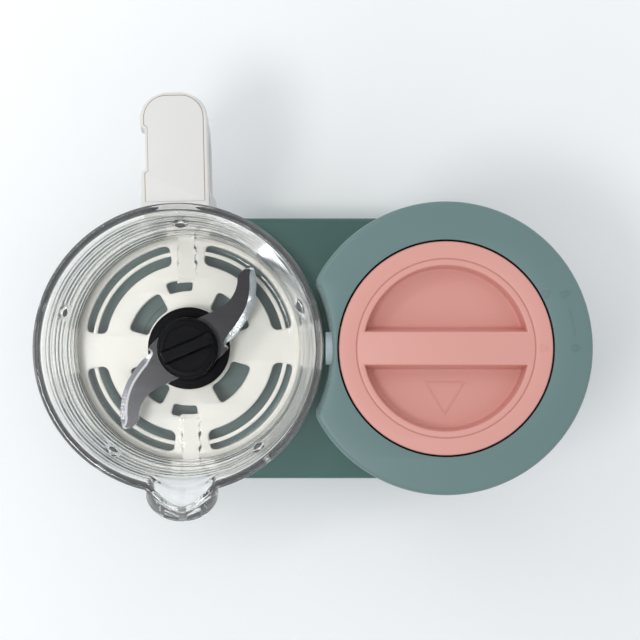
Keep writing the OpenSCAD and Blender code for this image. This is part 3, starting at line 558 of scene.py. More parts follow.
def drawn_metal(name, colour, streak_mm, roughness):
    """Bare metal with draw lines round its height: fine streaks that blur its reflections."""
    made, tree, place = new_material(name)
    stretch = add_node(
        tree, "ShaderNodeMapping", {"Scale": (40.0, 40.0, 1000.0 / streak_mm)}, {"Vector": place}
    ).outputs["Vector"]
    noise = add_node(tree, "ShaderNodeTexNoise", {"Scale": 1.0, "Detail": 3.0}, {"Vector": stretch})
    streak = noise.outputs["Fac"]
    gloss = add_node(
        tree, "ShaderNodeMapRange", {"To Min": roughness - 0.08, "To Max": roughness + 0.1}, {"Value": streak}
    )
    relief = add_node(tree, "ShaderNodeBump", {"Strength": 0.15, "Distance": 0.0001}, {"Height": streak})
    shader = add_node(
        tree,
        "ShaderNodeBsdfPrincipled",
        {"Base Color": linear(colour), "Metallic": 1.0},
        {"Roughness": gloss.outputs["Result"], "Normal": relief.outputs["Normal"]},
    )
    close_material(tree, shader)
    return made


def cast_metal(name, colour, dark, grain_mm, roughness, metallic=1.0):
    """Sand- or die-cast metal: a grainy skin whose hollows are darker and rougher."""
    made, tree, place = new_material(name)
    scale = 1000.0 / grain_mm
    noise = add_node(tree, "ShaderNodeTexNoise", {"Scale": scale, "Detail": 5.0}, {"Vector": place})
    skin = noise.outputs["Fac"]
    tones = {"data_type": "RGBA", 6: linear(dark), 7: linear(colour)}
    tone = add_node(tree, "ShaderNodeMix", tones, {0: skin})
    gloss = add_node(
        tree, "ShaderNodeMapRange", {"To Min": roughness - 0.1, "To Max": roughness + 0.1}, {"Value": skin}
    )
    relief = add_node(tree, "ShaderNodeBump", {"Strength": 0.25, "Distance": 0.0002}, {"Height": skin})
    shader = add_node(
        tree,
        "ShaderNodeBsdfPrincipled",
        {"Metallic": metallic},
        {
            "Base Color": tone.outputs[2],
            "Roughness": gloss.outputs["Result"],
            "Normal": relief.outputs["Normal"],
        },
    )
    close_material(tree, shader)
    return made


def translucent_port():
    """Milky blue-grey polypropylene of the steam port: light passes and is scattered inside."""
    made, tree, place = new_material("translucent_polypropylene")
    cloud = add_node(tree, "ShaderNodeTexNoise", {"Scale": 180.0, "Detail": 2.0}, {"Vector": place})
    tone = add_node(
        tree,
        "ShaderNodeMix",
        {"data_type": "RGBA", 6: linear("#c3d1d6"), 7: linear("#d3dfe3")},
        {0: cloud.outputs["Fac"]},
    )
    shader = add_node(
        tree,
        "ShaderNodeBsdfPrincipled",
        {"Roughness": 0.28, "IOR": 1.49, "Transmission Weight": 0.25},
        {"Base Color": tone.outputs[2]},
    )
    close_material(tree, shader)
    return made


def silicone_rubber():
    """Grey silicone of rings and gaskets: soft sheen, a little dust in its pores."""
    return moulded_plastic("silicone_rubber", "#9a9c99", "#a5a7a3", 1.2, 0.62, 0.25, 0.3)


dress(drawn_metal("drawn_aluminium", "#b9bcbc", 0.6, 0.34), "water_tank")
CAST = cast_metal("cast_aluminium", "#b4b6b5", "#8d9090", 0.9, 0.48)
dress(CAST, "heating_plate", "bearing_housing", "motor_end_cap")
SHEATH = cast_metal("oxidised_steel_sheath", "#6d6a66", "#4b4946", 0.7, 0.5)
dress(SHEATH, "heating_element", "thermostat", "motor_bracket")
dress(cast_metal("laminated_core_steel", "#6a5a4c", "#40362e", 0.5, 0.45), "motor_stator", "motor_rotor")
dress(cast_metal("sintered_brass", "#b58f4d", "#8a6a35", 0.4, 0.35), "shaft_bush")
dress(drawn_metal("ground_steel", "#a9abad", 0.2, 0.22), "motor_shaft", "drive_spindle", "blade_shaft")
STEEL = drawn_metal("zinc_plated_steel", "#b8b9b4", 0.5, 0.32)
dress(STEEL, "cover_screws", "motor_screws", "housing_screws", "boiler_screws", "handle_screws")
dress(STEEL, "cap_clip", "valve_weight", "motor_bearings", "spindle_bearings", "blade_dog")
SILICONE = silicone_rubber()
dress(SILICONE, "boiler_gasket", "nozzle_seal", "bowl_gasket", "cap_seal", "spindle_seal")
dress(moulded_plastic("glazed_ceramic", "#d9d6cc", "#e2dfd6", 0.8, 0.3, 0.1), "thermal_fuse")
dress(moulded_plastic("heat_proof_nylon", "#c9c9c4", "#d1d1cc", 0.5, 0.5, 0.15), "steam_duct", "cap_plug")
dress(moulded_plastic("belt_rubber", "#1d1e1f", "#242526", 0.8, 0.7, 0.3, 0.3), "drive_belt")
dress(moulded_plastic("foot_rubber", "#26282a", "#2d2f31", 0.9, 0.75, 0.3, 0.3), "feet")
dress(moulded_plastic("board_laminate", "#2f5a3c", "#376545", 0.5, 0.4, 0.1), "control_board")
dress(translucent_port(), "steam_nozzle")

# ---- bowl base ----
# The glass stands in a white ABS foot: a cup and skirt round a disc pierced with slots, through which
# the deck shows. The slots' edges are rounded and a thin rib joins their sides half way out.


def white_abs():
    """Warm white ABS, 0.6 mm satin grain, a trace of yellow in its thin parts."""
    return moulded_plastic("white_abs", "#dedcd3", "#e2e0d8", 0.6, 0.36, 0.08)


WHITE = white_abs()
foot_low, foot_high = mm_box("bowl_base")
FOOT_R = foot_high[0] - BOWL_X
GLASS_Z = bowl_low[2]
DISC_LOW, DISC_HIGH = GLASS_Z - 10, GLASS_Z - 6
BOSS_R = 26.8
RIB_IN, RIB_OUT = 62.2, 64.8
SLOT_IN, SLOT_OUT = 56, 72
BOWL_TURN = math.radians(1.3)


def about_bowl(points):
    """Points given about the bowl's axis, turned with the bowl and moved to its place."""
    cos, sin = math.cos(BOWL_TURN), math.sin(BOWL_TURN)
    turned_points = np.array(points, float)
    x, y = turned_points[..., 0].copy(), turned_points[..., 1].copy()
    turned_points[..., 0] = BOWL_X + x * cos - y * sin
    turned_points[..., 1] = x * sin + y * cos
    return turned_points


def sector(r_low, r_high, middle, half, radius):
    """A ring sector about the bowl's axis: two arcs, two straight ends square to them, rounded corners."""
    mid, spread = math.radians(middle), math.radians(half)
    share = np.linspace(-1, 1, 41)
    inset = radius
    reach = np.array([r_high - inset, r_low + inset])
    swing = spread - np.arcsin(inset / reach)
    out_arc = mid + share * swing[0]
    in_arc = mid - share * swing[1]
    corner = np.linspace(0, math.pi / 2, 7)

    def bend(centre_angle, centre_r, start):
        middle_xy = centre_r * np.array([math.cos(centre_angle), math.sin(centre_angle)])
        angle = start + corner
        return middle_xy + inset * np.stack([np.cos(angle), np.sin(angle)], axis=-1)

    parts = [
        r_high * np.stack([np.cos(out_arc), np.sin(out_arc)], axis=-1)[1:-1],
        bend(mid + swing[0], reach[0], mid + swing[0]),
        bend(mid + swing[1], reach[1], mid + swing[1] + math.pi / 2),
        r_low * np.stack([np.cos(in_arc), np.sin(in_arc)], axis=-1)[1:-1],
        bend(mid - swing[1], reach[1], mid - swing[1] + math.pi),
        bend(mid - swing[0], reach[0], mid - swing[0] - math.pi / 2),
    ]
    return about_bowl(np.vstack(parts))


slots = [sector(SLOT_IN, SLOT_OUT, 45 + 90 * turn, 34.5, 4.6) for turn in range(4)]
slots += [sector(28.8, 42, middle, 22, 2.6) for middle in (40, 140, 220, 320)]
slots += [sector(38, 45.5, middle, 11.5, 2.0) for middle in (84, 278)]
around = circle(1.0)


def foot_circle(radius):
    """A circle about the bowl's axis."""
    return around * radius + (BOWL_X, 0)


disc_grids, disc_fills = slab(foot_circle(FOOT_R - 3.5), slots, DISC_LOW, DISC_HIGH, 1.0, 0.6)
cup = np.vstack(
    [
        [[FOOT_R - 5.1, DISC_LOW + 2], [FOOT_R - 5.1, foot_high[2] - 0.6]],
        arc_rows(FOOT_R - 4.5, foot_high[2] - 0.6, 0.6, 180, 90, 4),
        arc_rows(FOOT_R - 0.8, foot_high[2] - 0.8, 0.8, 90, 0, 5),
        [[FOOT_R, foot_low[2] + 0.5]],
        arc_rows(FOOT_R - 0.5, foot_low[2] + 0.5, 0.5, 0, -90, 4),
        [[FOOT_R - 3, foot_low[2]], [FOOT_R - 3, DISC_LOW + 2]],
    ]
)
boss = np.vstack(
    [
        [[14.0, DISC_LOW], [BOSS_R, DISC_LOW]],
        arc_rows(BOSS_R + 1.5, DISC_HIGH + 1.5, 1.5, 270, 180, 5),
        arc_rows(BOSS_R - 0.8, GLASS_Z - 0.8, 0.8, 0, 90, 4),
        [[14.0, GLASS_Z]],
    ]
)
rib = np.array(
    [
        [RIB_IN, DISC_LOW + 0.6], [RIB_OUT, DISC_LOW + 0.6], [RIB_OUT, DISC_HIGH - 0.7],
        [RIB_OUT - 0.5, DISC_HIGH - 0.3], [RIB_IN + 0.5, DISC_HIGH - 0.3], [RIB_IN, DISC_HIGH - 0.7],
    ]
)
foot_grids = disc_grids + [(turned(ring, BOWL_X), True, True) for ring in (cup, boss, rib)]
foot = build("pierced_foot", foot_grids, disc_fills, WHITE, "bowl", "white_plastic")
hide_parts("bowl_base")

# ---- glass bowl ----
# Pressed borosilicate glass, one piece: thick foot, wall widening upwards, rolled rim, a poured lip
# towards +Y, five lugs inside the wall and two ribs on the floor that stop food from spinning round.


def pressed_glass():
    """Clear pressed glass: fire-polished, slowly wavy from the mould, faintly hazed by washing."""
    made, tree, place = new_material("pressed_glass")
    noise = add_node(tree, "ShaderNodeTexNoise", {"Scale": 55.0, "Detail": 1.0}, {"Vector": place})
    wave = noise.outputs["Fac"]
    relief = add_node(tree, "ShaderNodeBump", {"Strength": 0.12, "Distance": 0.0006}, {"Height": wave})
    clear = (0.985, 0.99, 0.99, 1.0)
    shader = add_node(
        tree,
        "ShaderNodeBsdfPrincipled",
        {"Base Color": clear, "Roughness": 0.0, "IOR": 1.49, "Transmission Weight": 0.97},
        {"Normal": relief.outputs["Normal"]},
    )
    close_material(tree, shader)
    return made


RIM_R = bowl_high[0] - BOWL_X
LIP_Y = bowl_high[1] - 0.25
LIP_HALF = math.radians(14.5)
FLOOR_Z = GLASS_Z + 5
HOLE_FLOOR_R = 20.2
LOW_R = RIM_R - 11.5
TOP_R = RIM_R - 1.5
columns_glass = 420
way = np.linspace(0, 2 * math.pi, columns_glass, endpoint=False)


def eased(value):
    """0 below 0, 1 above 1, and 3 v^2 - 2 v^3 between."""
    value = np.clip(value, 0, 1)
    return value * value * (3 - 2 * value)


outer_z = np.linspace(GLASS_Z + 6, RIM_Z - 9, 56)
outer_rise = (outer_z - GLASS_Z - 6) / (RIM_Z - 15 - GLASS_Z)
outside = np.column_stack([LOW_R + outer_rise * (TOP_R - LOW_R), outer_z])
inner_z = np.linspace(RIM_Z - 9, FLOOR_Z + 7, 56)
inner_rise = (inner_z - FLOOR_Z - 7) / (RIM_Z - 16 - FLOOR_Z)
inside = np.column_stack([LOW_R - 3.6 + inner_rise * (TOP_R - LOW_R - 0.4), inner_z])
foot_flat = [[HOLE_FLOOR_R, GLASS_Z], [LOW_R - 20, GLASS_Z]]
under = np.vstack([foot_flat, arc_rows(LOW_R - 6, GLASS_Z + 6, 6, 270, 351, 8)])
bead_out = arc_rows(RIM_R - 2, RIM_Z - 2, 2, 0, 90, 7)
bead_in = arc_rows(TOP_R - 2.2, RIM_Z - 1.4, 1.4, 90, 180, 5)
bead = np.vstack([[[RIM_R - 0.5, RIM_Z - 7.6]], bead_out, bead_in])
floor_rows = np.column_stack([np.linspace(LOW_R - 10, HOLE_FLOOR_R, 44), np.full(44, FLOOR_Z)])
corner_rows = arc_rows(LOW_R - 10, FLOOR_Z + 7, 7, 352, 280, 8) + (-0.4, 0)
section = np.vstack([under, outside, bead, inside, corner_rows, floor_rows])
count_outside = len(under) + len(outside) + 5
radius = np.repeat(section[:, :1], columns_glass, axis=1)
height = np.repeat(section[:, 1:], columns_glass, axis=1)
angle = np.broadcast_to(way, radius.shape).copy()
from_lip = np.abs((angle - math.pi / 2 + math.pi) % (2 * math.pi) - math.pi) / LIP_HALF
pointed = 1 - (np.sqrt(from_lip**2 + 0.03) - 0.173) / (1.015 - 0.173)
rounded = (1 - np.clip(from_lip, 0, 1) ** 2.2) ** 0.55
pointed = np.where(from_lip < 1, np.clip(pointed, 0, 1), 0)
rounded = np.where(from_lip < 1, rounded, 0)
outer_side = (np.arange(len(section)) < count_outside)[:, None]
belly = eased((height - (RIM_Z - 48)) / 38)
lip_top = eased((height - (RIM_Z - 9)) / 8)
round_low = 0.5 + 0.5 * np.cos(math.pi * np.clip(from_lip, 0, 1))
full = rounded * belly + round_low * (1 - belly)
push_out = belly * ((LIP_Y - TOP_R - 0.3) * full * (1 - lip_top) + 12.2 * pointed * lip_top)
belly_in = eased((height - (RIM_Z - 42)) / 38)
push_in = belly_in * (13.8 * (0.6 * full + 0.4 * pointed) * (1 - lip_top) + 12.4 * pointed * lip_top)
radius = radius + np.where(outer_side, push_out, push_in)

lug_share = 2 * math.pi / 5
lug_turn = np.abs((angle - math.radians(54) + lug_share / 2) % lug_share - lug_share / 2)
lug_side = np.cos(math.pi / 2 * np.clip(lug_turn * radius / 4.8, 0, 1)) ** 0.7
lug_end = eased((height - (GLASS_Z + 60)) / 5) * eased((GLASS_Z + 80 - height) / 5)
inner_wall = ((~outer_side) & (height > FLOOR_Z + 8)).astype(float)
radius = radius - inner_wall * lug_side * lug_end * np.maximum(radius - 75.0, 0)

across = np.abs(radius * np.cos(angle))
rib_in = eased((6.4 - across) / 0.9) * eased((radius - 44.6) / 1.2)
floor_side = (~outer_side) & (height < FLOOR_Z + 8)
height = height + np.where(floor_side, rib_in * (FLOOR_Z + 8 - height), 0)
outer_ripple = 0.16 * np.sin(height * 2 * math.pi / 13 + 1)
inner_ripple = 0.2 * np.sin(height * 2 * math.pi / 9.5)
ripple = np.where(outer_side, outer_ripple, inner_ripple)
on_wall = eased((height - (GLASS_Z + 12)) / 8) * eased((RIM_Z - 14 - height) / 8)
radius = radius + ripple * on_wall - 0.16 * outer_side * on_wall
bowl_points = about_bowl(np.stack([radius * np.cos(angle), radius * np.sin(angle), height], axis=-1))
GLASS = pressed_glass()
glass = build("blending_glass", [(bowl_points, True, True)], [], GLASS, "bowl", "clear_glass", 60)
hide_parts("glass_bowl")
# Clear glass throws almost no shadow, and without this the foot inside it would be too dark.
glass.visible_shadow = False

# ---- blade, collar and hub ----
# A stamped steel blade with two swept arms, each ground to a bevel on its outer edge. It is clamped
# under a black nylon hub with a finger bar, and turns over a black collar screwed into the bowl's foot.


def smoothed(corners, steps):
    """Closed Catmull-Rom curve: each span is the cubic through its corners with the neighbours' slopes."""
    corners = np.array(corners, float)
    before, after, next_after = (np.roll(corners, shift, axis=0)[:, None] for shift in (1, -1, -2))
    here = corners[:, None]
    share = np.linspace(0, 1, steps, endpoint=False)[None, :, None]
    curve = 0.5 * (
        2 * here
        + (after - before) * share
        + (2 * before - 5 * here + 4 * after - next_after) * share**2
        + (3 * here - before - 3 * after + next_after) * share**3
    )
    return curve.reshape(-1, corners.shape[1])


def stamped_steel():
    """Stainless sheet with 0.3 mm grinding lines: a dark mirror, with a painted highlight that lightens its
    colour where the surface tilts, on the ground bevels.
    """
    made, tree, place = new_material("ground_stainless")
    stretch = add_node(
        tree,
        "ShaderNodeMapping",
        {"Scale": (60.0, 3300.0, 3300.0), "Rotation": (0.0, 0.0, 0.8)},
        {"Vector": place},
    ).outputs["Vector"]
    noise = add_node(tree, "ShaderNodeTexNoise", {"Scale": 1.0, "Detail": 3.0}, {"Vector": stretch})
    line = noise.outputs["Fac"]
    gloss = add_node(tree, "ShaderNodeMapRange", {"To Min": 0.1, "To Max": 0.2}, {"Value": line})
    relief = add_node(tree, "ShaderNodeBump", {"Strength": 0.1, "Distance": 0.0001}, {"Height": line})
    # Painted highlight: the colour goes from mid grey where the face looks straight up to near white where it
    # tilts, as on the bevels.
    surface = add_node(tree, "ShaderNodeTexCoord")
    facing = add_node(tree, "ShaderNodeSeparateXYZ", links={"Vector": surface.outputs["Normal"]})
    bevel_painted_highlight = add_node(
        tree, "ShaderNodeMapRange", {"From Min": 0.99, "From Max": 0.95}, {"Value": facing.outputs["Z"]}
    )
    tone = add_node(
        tree,
        "ShaderNodeMix",
        {"data_type": "RGBA", 6: linear("#97979a"), 7: linear("#eeeeef")},
        {0: bevel_painted_highlight.outputs["Result"]},
    )
    shader = add_node(
        tree,
        "ShaderNodeBsdfPrincipled",
        {"Metallic": 1.0},
        {
            "Base Color": tone.outputs[2],
            "Roughness": gloss.outputs["Result"],
            "Normal": relief.outputs["Normal"],
        },
    )
    close_material(tree, shader)
    return made


def black_nylon():
    """Black glass-filled nylon, 0.4 mm grain, a slight grey bloom on its raised parts."""
    return moulded_plastic("black_nylon", "#08080a", "#0d0d0f", 0.4, 0.36, 0.15, 0.1)


BLACK = black_nylon()
blade_low, blade_high = mm_box("blade")
hub_low, hub_high = mm_box("blade_hub")
collar_low, collar_high = mm_box("blade_collar")
HUB_R = 20.0
COLLAR_R = collar_high[0] - BOWL_X
arm = np.array(
    [[0, -17], [-15.7, -24.1], [-24.6, -29.1], [-29.6, -35.6], [-31.8, -41.8], [-32.3, -47.2],
     [-35, -50.3], [-37.3, -52], [-42.4, -52.4], [-44.3, -46], [-44.3, -37.9], [-43.1, -30.2],
     [-40.4, -22.5], [-35.8, -14.8], [-30.4, -7.9], [-24.8, -2.9], [-25.8, 0.6], [-17.3, 8.7]]
)
ground = np.array([0] * 8 + [0.5] + [1] * 6 + [0.4, 0, 0])
corners = np.vstack([np.column_stack([arm, ground, 0 * ground]), np.column_stack([-arm, ground, ground])])
curve = smoothed(corners, 14)[::-1]
plan, bevel, toothed = curve[:, :2], np.clip(curve[:, 2], 0, 1), np.clip(curve[:, 3], 0, 1)
walked = np.cumsum(np.linalg.norm(plan - np.roll(plan, 1, axis=0), axis=1))
teeth = toothed * np.abs(np.sin(walked * math.pi / 2.4))
plan = plan + (BOWL_X, 0)
toothed = toothed * bevel
edge_plan = grown(plan, (-0.3 * teeth)[:, None])
step_plan = grown(plan, (-0.1 - 1.9 * bevel - 1.1 * toothed - 0.35 * teeth)[:, None])
top_plan = grown(plan, (-0.15 - 4.2 * bevel - 0.5 * toothed)[:, None])
step_z = blade_low[2] + 0.25 + (0.95 - 0.55 * toothed) * 0.85
blade_rows = np.array(
    [
        flat(edge_plan, blade_low[2]),
        flat(edge_plan, blade_low[2] + 0.25),
        flat(step_plan, step_z),
        flat(top_plan, blade_high[2]),
    ]
)
blade = build(
    "stamped_blade", [(blade_rows, False, True)], [[blade_rows[-1]], [blade_rows[0]]],
    stamped_steel(), "blade_set", "blade_steel", 14,
)
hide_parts("blade")

HUB_TOP = hub_high[2] - 6.0
hub_rise = np.vstack(
    [
        [[0.01, hub_low[2]], [HUB_R, hub_low[2]]],
        arc_rows(HUB_R - 1.2, HUB_TOP - 3.4, 1.2, 0, 90, 5),
        arc_rows(HUB_R - 2.6, HUB_TOP - 1.2, 1.2, 0, 90, 5) + (0.4, 0.0),
        [[HUB_R - 4.4, HUB_TOP], [HUB_R - 4.6, HUB_TOP - 0.5]],
        [[HUB_R - 5.4, HUB_TOP - 0.5], [HUB_R - 5.6, HUB_TOP]],
        [[0.01, HUB_TOP]],
    ]
)
bar_turn = math.radians(23)
along = np.array([math.cos(bar_turn), math.sin(bar_turn)])
across_bar = np.array([-along[1], along[0]])


def rectangle(half_x, half_y):
    """The four corners of a rectangle about the origin, anticlockwise."""
    return [[-half_x, -half_y], [half_x, -half_y], [half_x, half_y], [-half_x, half_y]]


def bar_row(half_length, half_width, height):
    """A rounded bar outline at one height, turned to the bar's direction."""
    local = fillet(rectangle(half_length, half_width), half_width * 0.35, 8)
    return flat(local @ np.stack([along, across_bar]) + (BOWL_X, 0), height)


bar_rows = np.array(
    [
        bar_row(17.8, 5.2, HUB_TOP - 0.6),
        bar_row(17.5, 4.5, HUB_TOP + 0.5),
        bar_row(17.2, 4.0, HUB_TOP + 2.5),
        bar_row(16.9, 3.6, hub_high[2] - 1.0),
        bar_row(16.7, 3.4, hub_high[2] - 0.35),
        bar_row(16.3, 3.0, hub_high[2]),
    ]
)
hub = build(
    "blade_hub_cap", [(turned(hub_rise, BOWL_X, 160), False, True), (bar_rows, False, True)],
    [[bar_rows[-1]], [bar_rows[0]]], BLACK, "blade_set", "black_plastic",
)
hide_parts("blade_hub")

COLLAR_TOP = collar_high[2]
BUSH_R = 8.0
BARREL_R = 19.9
collar_rise = np.vstack(
    [
        [[BUSH_R, COLLAR_TOP - 6.0], [COLLAR_R - 0.4, COLLAR_TOP - 6.0], [COLLAR_R, COLLAR_TOP - 5.4]],
        arc_rows(COLLAR_R - 0.8, COLLAR_TOP - 2.4, 0.8, 0, 90, 5),
        arc_rows(COLLAR_R - 3.2, COLLAR_TOP - 1.4, 0.6, 0, 90, 5),
        arc_rows(COLLAR_R - 5.6, COLLAR_TOP - 0.7, 0.6, 0, 90, 5),
        arc_rows(COLLAR_R - 7.8, COLLAR_TOP - 0.5, 0.5, 0, 90, 5),
        [[BUSH_R, COLLAR_TOP]],
    ]
)
barrel_low, barrel_high = collar_low[2], COLLAR_TOP - 5.5
barrel = [[BUSH_R, barrel_low], [BARREL_R, barrel_low], [BARREL_R, barrel_high], [BUSH_R, barrel_high]]
collar_grids = [(turned(shape, BOWL_X, 160), True, True) for shape in (collar_rise, barrel)]
collar = build("blade_collar_ring", collar_grids, [], BLACK, "bowl", "black_plastic")
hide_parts("blade_collar")
dress(BLACK, "blade_spacer")

# ---- handle ----
# White ABS handle in two halves: a closed D whose upper arm carries a flush cover, with a thin
# gold-brown strip of painted shade in the seam round it. Its root plate is shaped to the glass and screwed
# through the foot's cup.


def handle_abs():
    """The handle's white ABS, a touch greyer than the foot, same satin grain."""
    return moulded_plastic("handle_white_abs", "#dcdad5", "#e0deda", 0.6, 0.36, 0.08)


GRIP = handle_abs()
TIP = -mm_box("handle_shell")[0][1] - 0.4
TIP_R = 16.0
HANDLE_TOP = mm_box("handle_shell")[1][2]
HANDLE_LOW = mm_box("handle_shell")[0][2]
HALF_W = 20.5
SHELL_TOP = HANDLE_TOP - 0.25
guide = np.array(
    [
        [84, 0, 84, 15], [100, 0, 100, 15], [107.4, 0, 107.4, 15], [108.6, 0, 108.6, 15], [111, 0, 111, 15],
        [131, 0, 131, 15], [133.4, 0, 131.2, 15], [134.6, 0, 131.8, 15], [140, 0, 133, 15.1],
        [144, 0, 133.4, 15.2], [147.2, 0, 133.8, 15.3], [149.6, 0, 134.1, 15.4],
        [TIP - 4.6, 0, 134.4, 15.6], [TIP - 3.4, 0.3, 135.6, 16.3], [TIP - 2.2, 0.9, 136.8, 17.3],
        [TIP - 1.2, 1.8, 137.8, 18.8], [TIP - 0.5, 3.1, 138.5, 20.6], [TIP - 0.1, 4.7, 138.9, 22.4],
        [TIP, 7, 139, 25], [TIP, 26, 138.4, 34], [TIP - 3, 52, 135.5, 55], [TIP - 6, 80, 133, 76],
        [TIP - 8.2, 90, 130.6, 82.6], [TIP - 12, 97.4, 128, 87], [TIP - 17.4, 102.8, 124, 90],
        [TIP - 24, 106.2, 119, 92], [118, 108.2, 112, 93.2], [104, 109.6, 104, 93.8], [84, 110, 84, 94],
    ]
)


def rounded_section(left, right, thick, r_out, r_in):
    """Section outlines, one a row: across by depth, with their own radii at the outer and inner corners."""
    corner = np.linspace(0, math.pi / 2, 9)[None]
    parts = []
    for side_x, side_d, radius, start in (
        (right, 0 * thick, r_out, -math.pi / 2),
        (right, thick, r_in, 0),
        (-left, thick, r_in, math.pi / 2),
        (-left, 0 * thick, r_out, math.pi),
    ):
        cx = side_x - np.sign(side_x) * radius
        cd = side_d + np.where(side_d > 0, -1, 1) * radius
        swing = start + corner
        parts.append(np.stack([cx + radius * np.cos(swing), cd + radius * np.sin(swing)], axis=-1))
    return np.concatenate(parts, axis=1)


outer_line = np.column_stack([guide[:, 0], SHELL_TOP - guide[:, 1]])
inner_line = np.column_stack([guide[:, 2], SHELL_TOP - guide[:, 3]])
thick = np.linalg.norm(outer_line - inner_line, axis=1)[:, None]
notch = (eased((guide[:, 0] - 107) / 2) * eased((135 - guide[:, 0]) / 2) * (guide[:, 1] < 0.1))[:, None]
low_arm = eased((guide[:, 1] - 2) / 30)[:, None]
corner_way = eased((guide[:, 0] - 139) / 14)[:, None]
tip_round = corner_way * (1 - low_arm) + low_arm
narrow = 2.2 * low_arm
left, right = HALF_W - narrow, HALF_W - narrow - 3 * notch
outer_r, inner_r = 1.6 + 5.4 * tip_round * (thick > 10), 1.6 + 2.6 * low_arm
section_rows = rounded_section(left, right, thick, outer_r, inner_r)
share_in = section_rows[:, :, 1:] / thick[:, None]
side_view = outer_line[:, None] * (1 - share_in) + inner_line[:, None] * share_in
past = np.clip(side_view[:, :, 0] - (TIP - TIP_R), 0, TIP_R)
reach = 1 - (TIP_R - np.sqrt(TIP_R**2 - past**2)) / HALF_W
handle_points = np.stack([section_rows[:, :, 0] * reach, -side_view[:, :, 0], side_view[:, :, 1]], axis=-1)


def glass_side(x, z):
    """How far out the glass or the foot's cup is at this height, seen at this distance from the middle."""
    wall = LOW_R + (z - GLASS_Z - 6) / (RIM_Z - 15 - GLASS_Z) * (TOP_R - LOW_R) + 0.35
    wall = np.where(z > RIM_Z - 9, RIM_R + 0.35, wall)
    wall = np.where(z < foot_high[2] + 0.5, FOOT_R + 0.25, wall)
    return np.sqrt(wall**2 - x**2)


for end in (0, -1):
    x, z = handle_points[end, :, 0], handle_points[end, :, 2]
    handle_points[end, :, 1] = -glass_side(x, z)
ROOT_EDGE = 1.2
ROOT_OUT = 98
root_side = np.linspace(HANDLE_LOW + 2, SHELL_TOP - 2, 40)
root_foot = HANDLE_LOW + ROOT_EDGE * (1 - np.cos(quarter[1:]))
root_z = np.concatenate([[HANDLE_LOW], root_foot, root_side, [SHELL_TOP - 0.8]])
root_in = np.concatenate([[ROOT_EDGE], ROOT_EDGE * (1 - np.sin(quarter[1:])), 0 * root_side, [0.0]])
root_corners = [[-HALF_W, -80], [-HALF_W, -ROOT_OUT], [HALF_W, -ROOT_OUT], [HALF_W, -80]]
root_plan = fillet(root_corners, [0, 3.5, 3.5, 0], 9)
root_outer = root_plan[root_plan[:, 1] < -85]
glass_x = np.linspace(HALF_W, -HALF_W, 33)
root_rows = []
for z, inset in zip(root_z, root_in):
    trimmed = root_outer * np.array([1 - inset / HALF_W, 1 - inset / ROOT_OUT])
    front_x = glass_x * (1 - inset / HALF_W)
    front = np.column_stack([front_x, -glass_side(front_x, z)])
    root_rows.append(np.vstack([flat(trimmed, z), flat(front, z)]))
handle_points, root_rows = about_bowl(handle_points), about_bowl(np.array(root_rows))
handle = build(
    "bowl_handle", [(handle_points, False, True), (root_rows, False, True)],
    [[root_rows[0]], [root_rows[-1]]], GRIP, "bowl", "white_plastic", 34,
)
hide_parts("handle_shell")


def cover_plan(inset):
    """The upper arm's plan made smaller: straight sides, two round corners at the tip, the side notch."""
    half, tip = HALF_W - inset, TIP - inset
    corner = TIP_R - inset
    notch_in = 3 - 0.4 * inset
    notched = half - notch_in
    plan_corners = [
        [-half, -89], [-half, -tip], [half, -tip], [half, -134 - 0.6 * inset],
        [notched, -134 - 0.2 * inset], [notched, -108 + 0.2 * inset], [half, -108 + 0.6 * inset], [half, -89],
    ]
    return about_bowl(fillet(plan_corners, [0.5, corner, corner, 1.0, 1.0, 1.0, 1.0, 0.5], 14))


cover_shape = slab(cover_plan(2.6), [], HANDLE_TOP - 2.4, HANDLE_TOP, 0.3)
cover = build("handle_cover_plate", *cover_shape, GRIP, "bowl", "white_plastic")
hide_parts("handle_cover")


def painted_seam_shade():
    """A thin gold-brown strip of painted shade, standing in for the shadow in the seam round the cover."""
    return moulded_plastic("seam_shade_paint", "#8f7340", "#9c804b", 1.0, 0.4, 0.05)


# Painted shade: a brown strip sits just under the top in the groove round the cover, in place of the groove's
# shadow.
seam_shape = slab(cover_plan(2.3), [cover_plan(2.66)], HANDLE_TOP - 1.2, HANDLE_TOP - 0.1, 0.02)
build("handle_seam", *seam_shape, painted_seam_shade(), "bowl", "white_plastic")

# ---- control knob ----
# On the tower's front: a grey ABS bezel glued over the shell and a white ABS knob with a moulded bar
# and a fluted edge, pressed on the shaft of the rotary switch behind it.
bezel_low, bezel_high = mm_box("knob_bezel")
knob_low, knob_high = mm_box("control_knob")
KNOB_Z = (knob_low[2] + knob_high[2]) / 2
KNOB_R = (knob_high[2] - knob_low[2]) / 2
BEZEL_R = (bezel_high[2] - bezel_low[2]) / 2


def facing_front(points, front_y):
    """Points drawn about an upright axis, laid so that their height runs forward from the tower's front."""
    return np.stack(
        [TOWER_X + points[..., 0], front_y - points[..., 2], KNOB_Z + points[..., 1]], axis=-1
    )


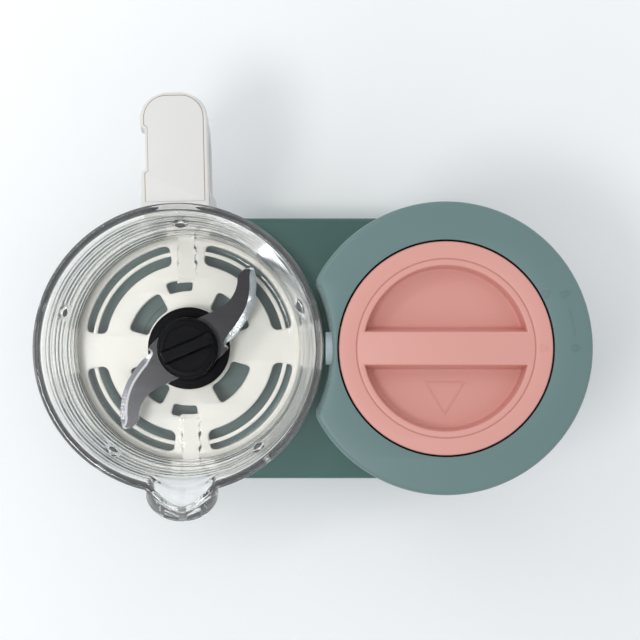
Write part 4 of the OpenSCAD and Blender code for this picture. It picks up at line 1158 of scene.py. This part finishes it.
bezel_rise = np.vstack(
    [
        [[KNOB_R + 0.7, -0.4], [KNOB_R + 0.7, 1.4]],
        arc_rows(KNOB_R + 1.4, 1.4, 0.7, 180, 90, 5) + (0, 0.4),
        [[KNOB_R + 2.5, 2.5], [KNOB_R + 2.7, 2.1], [KNOB_R + 3.1, 2.1], [KNOB_R + 3.3, 2.5]],
        arc_rows(BEZEL_R - 1.2, 1.3, 1.2, 90, 0, 6),
    ]
)
bezel_front = turned(bezel_rise, 0.0, 160)
skirt = bezel_front[-1].copy()
skirt[:, 2] = -TOWER_R + np.sqrt(TOWER_R**2 - skirt[:, 0] ** 2) - 0.3
floor_ring = bezel_front[0].copy()
floor_ring[:, 2] = -TOWER_R + np.sqrt(TOWER_R**2 - floor_ring[:, 0] ** 2) - 0.3
bezel_rows = facing_front(np.concatenate([floor_ring[None], bezel_front, skirt[None]]), -TOWER_R)


def grey_abs():
    """Light grey ABS of the bezel, satin grain a little coarser than the sage shells."""
    return moulded_plastic("grey_abs", "#9da1a0", "#a3a7a6", 0.7, 0.42, 0.12)


bezel = build("knob_bezel_ring", [(bezel_rows, True, True)], [], grey_abs(), "housing", "grey_plastic")
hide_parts("knob_bezel")

KNOB_BACK = TOWER_R + knob_high[1]
knob_rise = np.vstack(
    [
        [[0.01, -KNOB_BACK], [KNOB_R - 0.6, -KNOB_BACK]],
        [[KNOB_R, -KNOB_BACK + 0.5]],
        arc_rows(KNOB_R - 1.0, 3.6, 1.0, 0, 90, 6),
        [[KNOB_R - 3.0, 4.3], [0.01, 4.3]],
    ]
)
KNOB_COLUMNS = 240
FLUTE_COLUMNS = 6
knob_grid = turned(knob_rise, 0.0, KNOB_COLUMNS)
flute = 1 - 0.012 * (0.5 + 0.5 * np.cos(np.arange(KNOB_COLUMNS) * 2 * math.pi / FLUTE_COLUMNS))
edge_rows = slice(2, 6)
knob_grid[edge_rows, :, 0] *= flute
knob_grid[edge_rows, :, 1] *= flute


def knob_bar_row(half_length, half_width, height):
    """A rounded bar outline across the knob at one height."""
    return flat(fillet(rectangle(half_width, half_length), half_width * 0.9, 8), height)


bar_grid = np.array([knob_bar_row(KNOB_R - 2.6, 3.0, 4.0), knob_bar_row(KNOB_R - 2.9, 2.5, 4.8),
                     knob_bar_row(KNOB_R - 3.1, 2.2, 5.7), knob_bar_row(KNOB_R - 3.5, 1.8, 6.0)])
knob_points, bar_points = facing_front(knob_grid, -TOWER_R), facing_front(bar_grid, -TOWER_R)
knob = build(
    "control_knob_cap", [(knob_points, False, True), (bar_points, False, True)],
    [[bar_points[-1]], [bar_points[0]]], GRIP, "knob", "white_plastic",
)
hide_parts("control_knob")
dress(moulded_plastic("knob_steel_sleeve", "#8d9092", "#96999b", 0.5, 0.35, 0.1), "knob_shaft")
